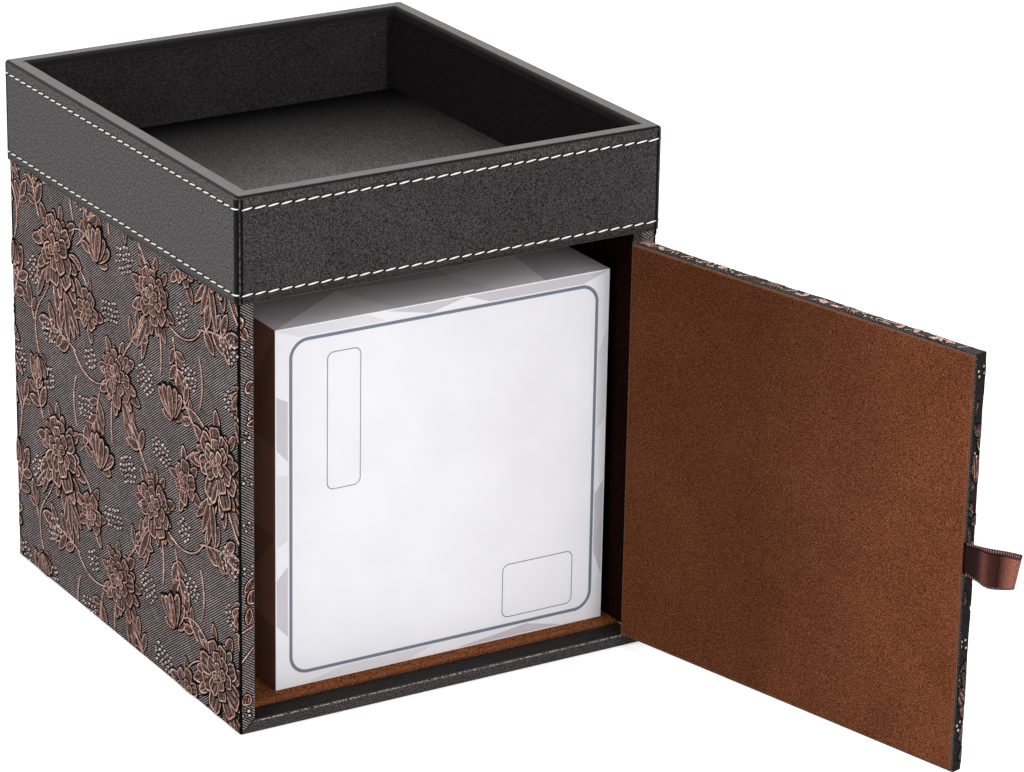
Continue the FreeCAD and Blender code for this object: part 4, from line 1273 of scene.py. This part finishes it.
def add_stitches():
    """Two rows of slanting stitches round the band, each bent round the corners with it."""
    perimeter = 4 * (BAND_HIGH.x + BAND_HIGH.y - 2 * BAND_CORNER) + 2 * math.pi * BAND_CORNER
    pitch = perimeter / STITCH_COUNT
    stitch = bead("stitch", 10, 6, (pitch * 0.435, 0.27, 0.225), 90, -7)
    # Pricks: small dark beads of painted shade in the needle holes, between the stitches.
    prick = bead("prick", 6, 4, (0.42, 0.12, 0.36), 0, 0)
    draw = random.Random(5)
    for row, name in zip(STITCH_ROWS, ("rim_stitches", "hem_stitches")):
        for shape, kind, lift, share, material in (
            (stitch, "", 0.12, 0.0, thread),
            (prick, "_pricks", 0.02, 0.5, painted_shade),
        ):
            bm = bmesh.new()
            for index in range(STITCH_COUNT):
                middle = (index + share) * pitch + draw.uniform(-0.08, 0.08)
                grown = draw.uniform(0.95, 1.06)
                before = len(bm.verts)
                bm.from_mesh(shape)
                bm.verts.ensure_lookup_table()
                for vert in bm.verts[before:]:
                    spot, outward = band_path((middle + vert.co.x * grown) % perimeter)
                    vert.co = (*(spot + outward * (lift - vert.co.y)), row + vert.co.z)
            finish_piece(bm, name + kind, "case", (material,))


# ---- velour pads


def add_pad(name, body, cloth, replaced, low, high, soft, place=None):
    """A card-backed pad with soft edges; the bevels carry a paler velour, a painted highlight."""
    bm = block(low, high)
    bmesh.ops.bevel(bm, geom=bm.edges[:], offset=soft, affect="EDGES", segments=3, profile=0.5, material=1,
                    clamp_overlap=True)
    if place:
        bmesh.ops.transform(bm, matrix=place, verts=bm.verts)
    pad = finish_piece(bm, name, body, (cloth, velour_edge_highlight), (replaced,), smooth=False)


def add_pads():
    """The velour pads on the door and on the compartment's floor."""
    low = Vector((PAD_INSET - DOOR_WIDTH, DOOR_FACE + COVER + BOARD, DOOR_BOTTOM + PAD_INSET))
    high = Vector((-PAD_INSET, DOOR_FACE + DOOR_THICK, DOOR_TOP - PAD_INSET))
    add_pad("door_pad", "door", velour_door, "door_lining", low, high, 0.28, DOOR)
    low = FLOOR_LOW + Vector((0, SILL_WIDE, 0))
    add_pad("floor_pad", "case", velour_floor, "floor_lining", low, FLOOR_HIGH, 0.55)


PAD_INSET = 0.7
SILL_WIDE = 3.0


def add_sill_turn_in():
    """The base leather's inner edge, glued down under the floor pad."""
    low = Vector((FLOOR_LOW.x, BASE_LOW.y + 1.5, BASE_HIGH.z - 0.3))
    high = Vector((FLOOR_HIGH.x, FLOOR_LOW.y + SILL_WIDE + 1.0, BASE_HIGH.z + 0.02))
    finish_piece(block(low, high), "sill_turn_in", "case", (base_leather,), smooth=False)


def add_tray_edge():
    """The turned top edge of the tray's lining, a thin ring under the band's return."""
    high = span("tray_wall_lining")[1]
    bm = bmesh.new()
    rings = []
    for wide, z in ((0.0, high.z - 0.2), (0.0, high.z + 0.45), (0.8, high.z + 0.45), (0.8, high.z - 0.2)):
        half_x, half_y = high.x - 0.9 + wide, high.y - 0.9 + wide
        corners = ((-half_x, -half_y), (half_x, -half_y), (half_x, half_y), (-half_x, half_y))
        rings.append([bm.verts.new((*corner, z)) for corner in corners])
    for ring, after in zip(rings, rings[1:] + rings[:1]):
        for index in range(4):
            bm.faces.new((ring[index], ring[index - 1], after[index - 1], after[index]))
    bmesh.ops.recalc_face_normals(bm, faces=bm.faces)
    finish_piece(bm, "tray_lining_edge", "case", (tray_velour,), smooth=False)


# ---- hinge strip


def add_hinge_strip():
    """One strip of cover glued to the wall's edge and to the door, bending between them."""
    sides = []
    for deep, bulge in ((0.0, Vector((0.12, -0.05))), (COVER, Vector((-0.1, -0.15)))):
        side = [Vector((x, deep - HALF_DEPTH)) for x in (STRIP_HIGH.x, STRIP_LOW.x + 0.5)]
        side += [(DOOR @ Vector((-reach, DOOR_FACE + deep, 0))).xy for reach in (0.7, LEAF_WIDTH)]
        side.insert(2, (side[1] + side[2]) / 2 + bulge)
        sides.append(side)
    outer, inner = sides
    bm = bmesh.new()
    foot = bm.faces.new([bm.verts.new((*point, DOOR_BOTTOM)) for point in outer + inner[::-1]])
    raise_faces(bm, [foot], (0, 0, DOOR_TOP - DOOR_BOTTOM))
    bmesh.ops.recalc_face_normals(bm, faces=bm.faces)
    strip = finish_piece(bm, "hinge_strip", None, (twill_strip,),
                         ("hinge_strip_case", "hinge_strip_door"), smooth=False)
    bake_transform(strip)


# ---- ribbon


def add_ribbon():
    """The folded satin pull: from its seat under the door's pad out to the fold, and back."""
    root = (DOOR.inverted() @ Vector((RIBBON_ROOT.x, RIBBON_ROOT.y, 0))).xy
    bm = bmesh.new()
    lay = bm.loops.layers.uv.new("lay")
    columns = []
    for out, proud in RIBBON_PATH:
        share = max(0.0, min(1.0, -out / RIBBON_REACH))
        rise_top = 2.2 * share ** 1.3
        rise_low = -1.35 * math.sin(math.pi * min(share * 1.05, 1.0)) + 1.0 * share ** 2
        column = []
        for step in range(RIBBON_STEPS + 1):
            up = step / RIBBON_STEPS
            lift = rise_low * (1 - up) + rise_top * up
            slant = 1.0 - 0.11 * (1 - up) * share ** 2
            spot = DOOR @ Vector((root.x + out * slant, root.y + proud, 0))
            column.append(bm.verts.new((spot.x, spot.y, RIBBON_ROOT.z + (up - 0.5) * RIBBON_WIDE + lift)))
        columns.append(column)
    for index in range(len(columns) - 1):
        for step in range(RIBBON_STEPS):
            places = [(index + i, step + j) for i, j in ((0, 0), (1, 0), (1, 1), (0, 1))]
            face = bm.faces.new([columns[place][level] for place, level in places])
            for loop, (place, level) in zip(face.loops, places):
                along = max(0.0, min(1.0, -RIBBON_PATH[place][0] / RIBBON_REACH))
                loop[lay].uv = (along, level / RIBBON_STEPS)
    bmesh.ops.recalc_face_normals(bm, faces=bm.faces)
    bmesh.ops.solidify(bm, geom=bm.faces[:], thickness=0.16)
    bmesh.ops.recalc_face_normals(bm, faces=bm.faces)
    ribbon = finish_piece(bm, "ribbon_pull", None, (satin,), ("ribbon_tail", "ribbon_loop"))
    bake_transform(ribbon)


# How far each point lies along the door from the ribbon's root, outwards negative, and how far off it.
RIBBON_PATH = (
    (8.0, 0.10), (4.0, 0.10), (0.05, 0.10),
    (-0.35, 0.10), (-2.2, 0.10), (-4.4, 0.12), (-6.6, 0.85), (-8.8, 1.05), (-11.0, 0.62), (-13.2, 0.35),
    (-15.2, 0.62), (-16.9, 1.0), (-18.0, 0.92), (-18.55, 0.45),
    (-18.45, -0.10), (-17.7, -0.42), (-15.6, -0.62), (-13.0, -0.72), (-10.0, -0.42), (-7.0, -0.10),
    (-4.2, -0.08), (-2.2, -0.10), (-0.35, -0.10), (0.05, -0.10), (4.0, -0.10), (8.0, -0.10),
)
RIBBON_REACH = 18.5
RIBBON_WIDE = 9.3
RIBBON_STEPS = 9

# ---- leading tissue


def add_leading_tissue():
    """The first tissue's edge: it stands in soft pleats from the stack into the outlet."""
    foot, rise, width = STACK_BACK + 0.3, 12.5, 56.0
    bm = bmesh.new()
    made = bmesh.ops.create_grid(bm, x_segments=56, y_segments=12, size=0.5)
    for vert in made["verts"]:
        u, v = vert.co.x, vert.co.y + 0.5
        pleat = 2.6 * math.sin(9.5 * u + 0.6) + 1.1 * math.sin(21.0 * u + 1.9)
        ragged = 1.0 + 0.06 * math.sin(7.0 * u + 0.4)
        vert.co = Vector((
            width * u * (1.0 + 0.05 * v),
            foot + rise * v * ragged * (1.0 - 0.22 * (2 * u) ** 4),
            OUTLET_MIDDLE + pleat * (0.35 + 0.65 * v) + 3.4 * v * v - 1.6,
        ))
    area = sum(face.calc_area() for face in bm.faces) * MM * MM
    bmesh.ops.solidify(bm, geom=bm.faces[:], thickness=0.14)
    bmesh.ops.recalc_face_normals(bm, faces=bm.faces)
    sheet = finish_piece(bm, "leading_tissue", "carton", (tissue_paper,))


STACK_BACK = span("tissue_stack")[1].y

# ---- carton print


def rounded_face(bm, low, high, radius):
    """A flat face with round corners on the XZ plane."""
    made = bmesh.ops.create_circle(bm, cap_ends=True, radius=1.0, segments=48)
    for vert in made["verts"]:
        x, z = vert.co.x, vert.co.y
        corner_x = high.x - radius if x > 1e-6 else low.x + radius
        corner_z = high.y - radius if z > 1e-6 else low.y + radius
        vert.co = Vector((corner_x + x * radius, 0, corner_z + z * radius))
    return made["verts"][0].link_faces[0]


def add_carton_print():
    """Grey facets over the carton's faces, and a rounded line and two frames on its front."""
    bm = bmesh.new()

    def patch(points, place, material):
        verts = [bm.verts.new(place @ Vector((u, v, 0))) for u, v in points]
        face = bm.faces.new(verts)
        lifted = raise_faces(bm, [face], place.to_3x3() @ Vector((0, 0, PRINT_THICK)))
        paint_round(verts + lifted, material)

    low, size = CARTON_LOW, CARTON_HIGH - CARTON_LOW
    upright = Matrix.Rotation(math.pi / 2, 4, "X")
    quarter = Matrix.Rotation(math.pi / 2, 4, "Z")
    to_front = Matrix.Translation(low) @ upright
    to_top = Matrix.Translation((low.x, low.y, CARTON_HIGH.z))
    to_left = Matrix.Translation((low.x, CARTON_HIGH.y, low.z)) @ quarter.inverted() @ upright
    to_right = Matrix.Translation((CARTON_HIGH.x, low.y, low.z)) @ quarter @ upright
    for points, tone in top_facets(size.x, size.y):
        patch(points, to_top, tone)
    # The left side takes the brown painted-shade tones.
    facets(patch, to_left, size.y, size.z, 32, (4, 5))
    facets(patch, to_right, size.y, size.z, 33, (0, 1, 2, 3))
    for points, tone in margin_facets(size.x, size.z):
        patch(points, to_front, tone)
    finish_piece(bm, "carton_facets", "carton",
                 (card_pale, card_grey, card_deep, card_white, card_shade_brown, card_shade_umber), smooth=False)
    bm = bmesh.new()
    corner = low.xz
    frames = [(corner + Vector((4.4, 3.6)), CARTON_HIGH.xz - Vector((3.6, 3.6)), BOLD_LINE)]
    for left, right, foot, top in LABEL_FRAMES:
        frames.append((corner + Vector((left * size.x, foot * size.z)),
                       corner + Vector((right * size.x, top * size.z)), THIN_LINE))
    for start, end, layers in frames:
        for inset, radius, lift, material in layers:
            gap = Vector((inset, inset))
            face = rounded_face(bm, start + gap, end - gap, radius)
            bmesh.ops.translate(bm, verts=face.verts, vec=(0, low.y - lift, 0))
            lifted = raise_faces(bm, [face], (0, PRINT_THICK, 0))
            paint_round(lifted + list(face.verts), material)
    bmesh.ops.recalc_face_normals(bm, faces=bm.faces)
    finish_piece(bm, "carton_label", "carton", (card_line, card_white), smooth=False)


PRINT_THICK = 0.03
# Stacked layers, each with its inset, corner radius, lift and material: line is 0, card 1.
BOLD_LINE = ((-0.45, 6.4, 0.035, 1), (0.0, 6.0, 0.05, 0), (1.0, 5.0, 0.065, 1))
THIN_LINE = ((0.0, 2.2, 0.08, 0), (0.28, 1.95, 0.095, 1))
# Left, right, foot and top, as shares of the carton's front.
LABEL_FRAMES = ((0.150, 0.250, 0.535, 0.915), (0.685, 0.905, 0.060, 0.215))


def facets(patch, place, across, up, seed, tones):
    """A field of plain triangles in a few tones."""
    draw = random.Random(seed)
    grid = {}

    def shaken(length, at):
        inner = 0 < at < FACET_ROWS
        return length * at / FACET_ROWS + (draw.uniform(-0.3, 0.3) * length / FACET_ROWS if inner else 0)

    for i in range(FACET_ROWS + 1):
        for j in range(FACET_ROWS + 1):
            grid[i, j] = (shaken(across, i), shaken(up, j))
    for i in range(FACET_ROWS):
        for j in range(FACET_ROWS):
            a, b, c, d = grid[i, j], grid[i + 1, j], grid[i + 1, j + 1], grid[i, j + 1]
            halves = ((a, b, c), (a, c, d)) if draw.random() < 0.5 else ((a, b, d), (b, c, d))
            for half in halves:
                patch(half, place, draw.choice(tones))


FACET_ROWS = 4


def top_facets(across, back):
    """The facets on the carton's top, largest along its front edge."""
    return (
        (((0, 0), (31, 21), (24, back), (0, back)), 1),
        (((0, 0), (39, 0), (31, 21)), 3),
        (((39, 0), (72, 0), (66, 17), (31, 21)), 0),
        (((31, 21), (66, 17), (58, back), (24, back)), 1),
        (((72, 0), (88, 0), (92, 26), (66, 17)), 3),
        (((66, 17), (92, 26), (84, back), (58, back)), 0),
        (((88, 0), (across, 0), (across, 34), (92, 26)), 1),
        (((92, 26), (across, 34), (across, back), (84, back)), 2),
    )


def margin_facets(across, up):
    """The facets that run a little way onto the front, outside its rounded line."""
    return (
        (((0.4, up - 0.4), (30, up - 0.4), (36, up - 3.3), (8, up - 3.3)), 0),
        (((36, up - 0.4), (62, up - 0.4), (50, up - 3.3)), 1),
        (((62, up - 0.4), (across - 0.4, up - 0.4), (across - 9, up - 3.3), (70, up - 3.3)), 1),
        (((0.4, 74), (4.0, 70), (4.0, 88), (0.4, 90)), 1),
        (((0.4, 44), (4.0, 46), (4.0, 66), (0.4, 66)), 0),
        (((0.4, 20), (4.0, 16), (4.0, 38), (0.4, 34)), 1),
        (((across - 3.3, 60), (across - 0.4, 64), (across - 0.4, 92), (across - 3.3, 84)), 0),
        (((across - 3.3, 22), (across - 0.4, 14), (across - 0.4, 44), (across - 3.3, 40)), 1),
        (((10, 0.4), (44, 0.4), (52, 3.2), (22, 3.2)), 0),
        (((60, 0.4), (96, 0.4), (84, 3.2)), 1),
    )


# ---- build

for step in (
    add_camera, add_light, add_floor, dress_cad_nodes, emboss_all, add_stitches, add_pads, add_tray_edge,
    add_sill_turn_in, add_hinge_strip, add_ribbon, add_leading_tissue, add_carton_print,
):
    step()

bpy.context.scene.view_settings.view_transform = "Standard"
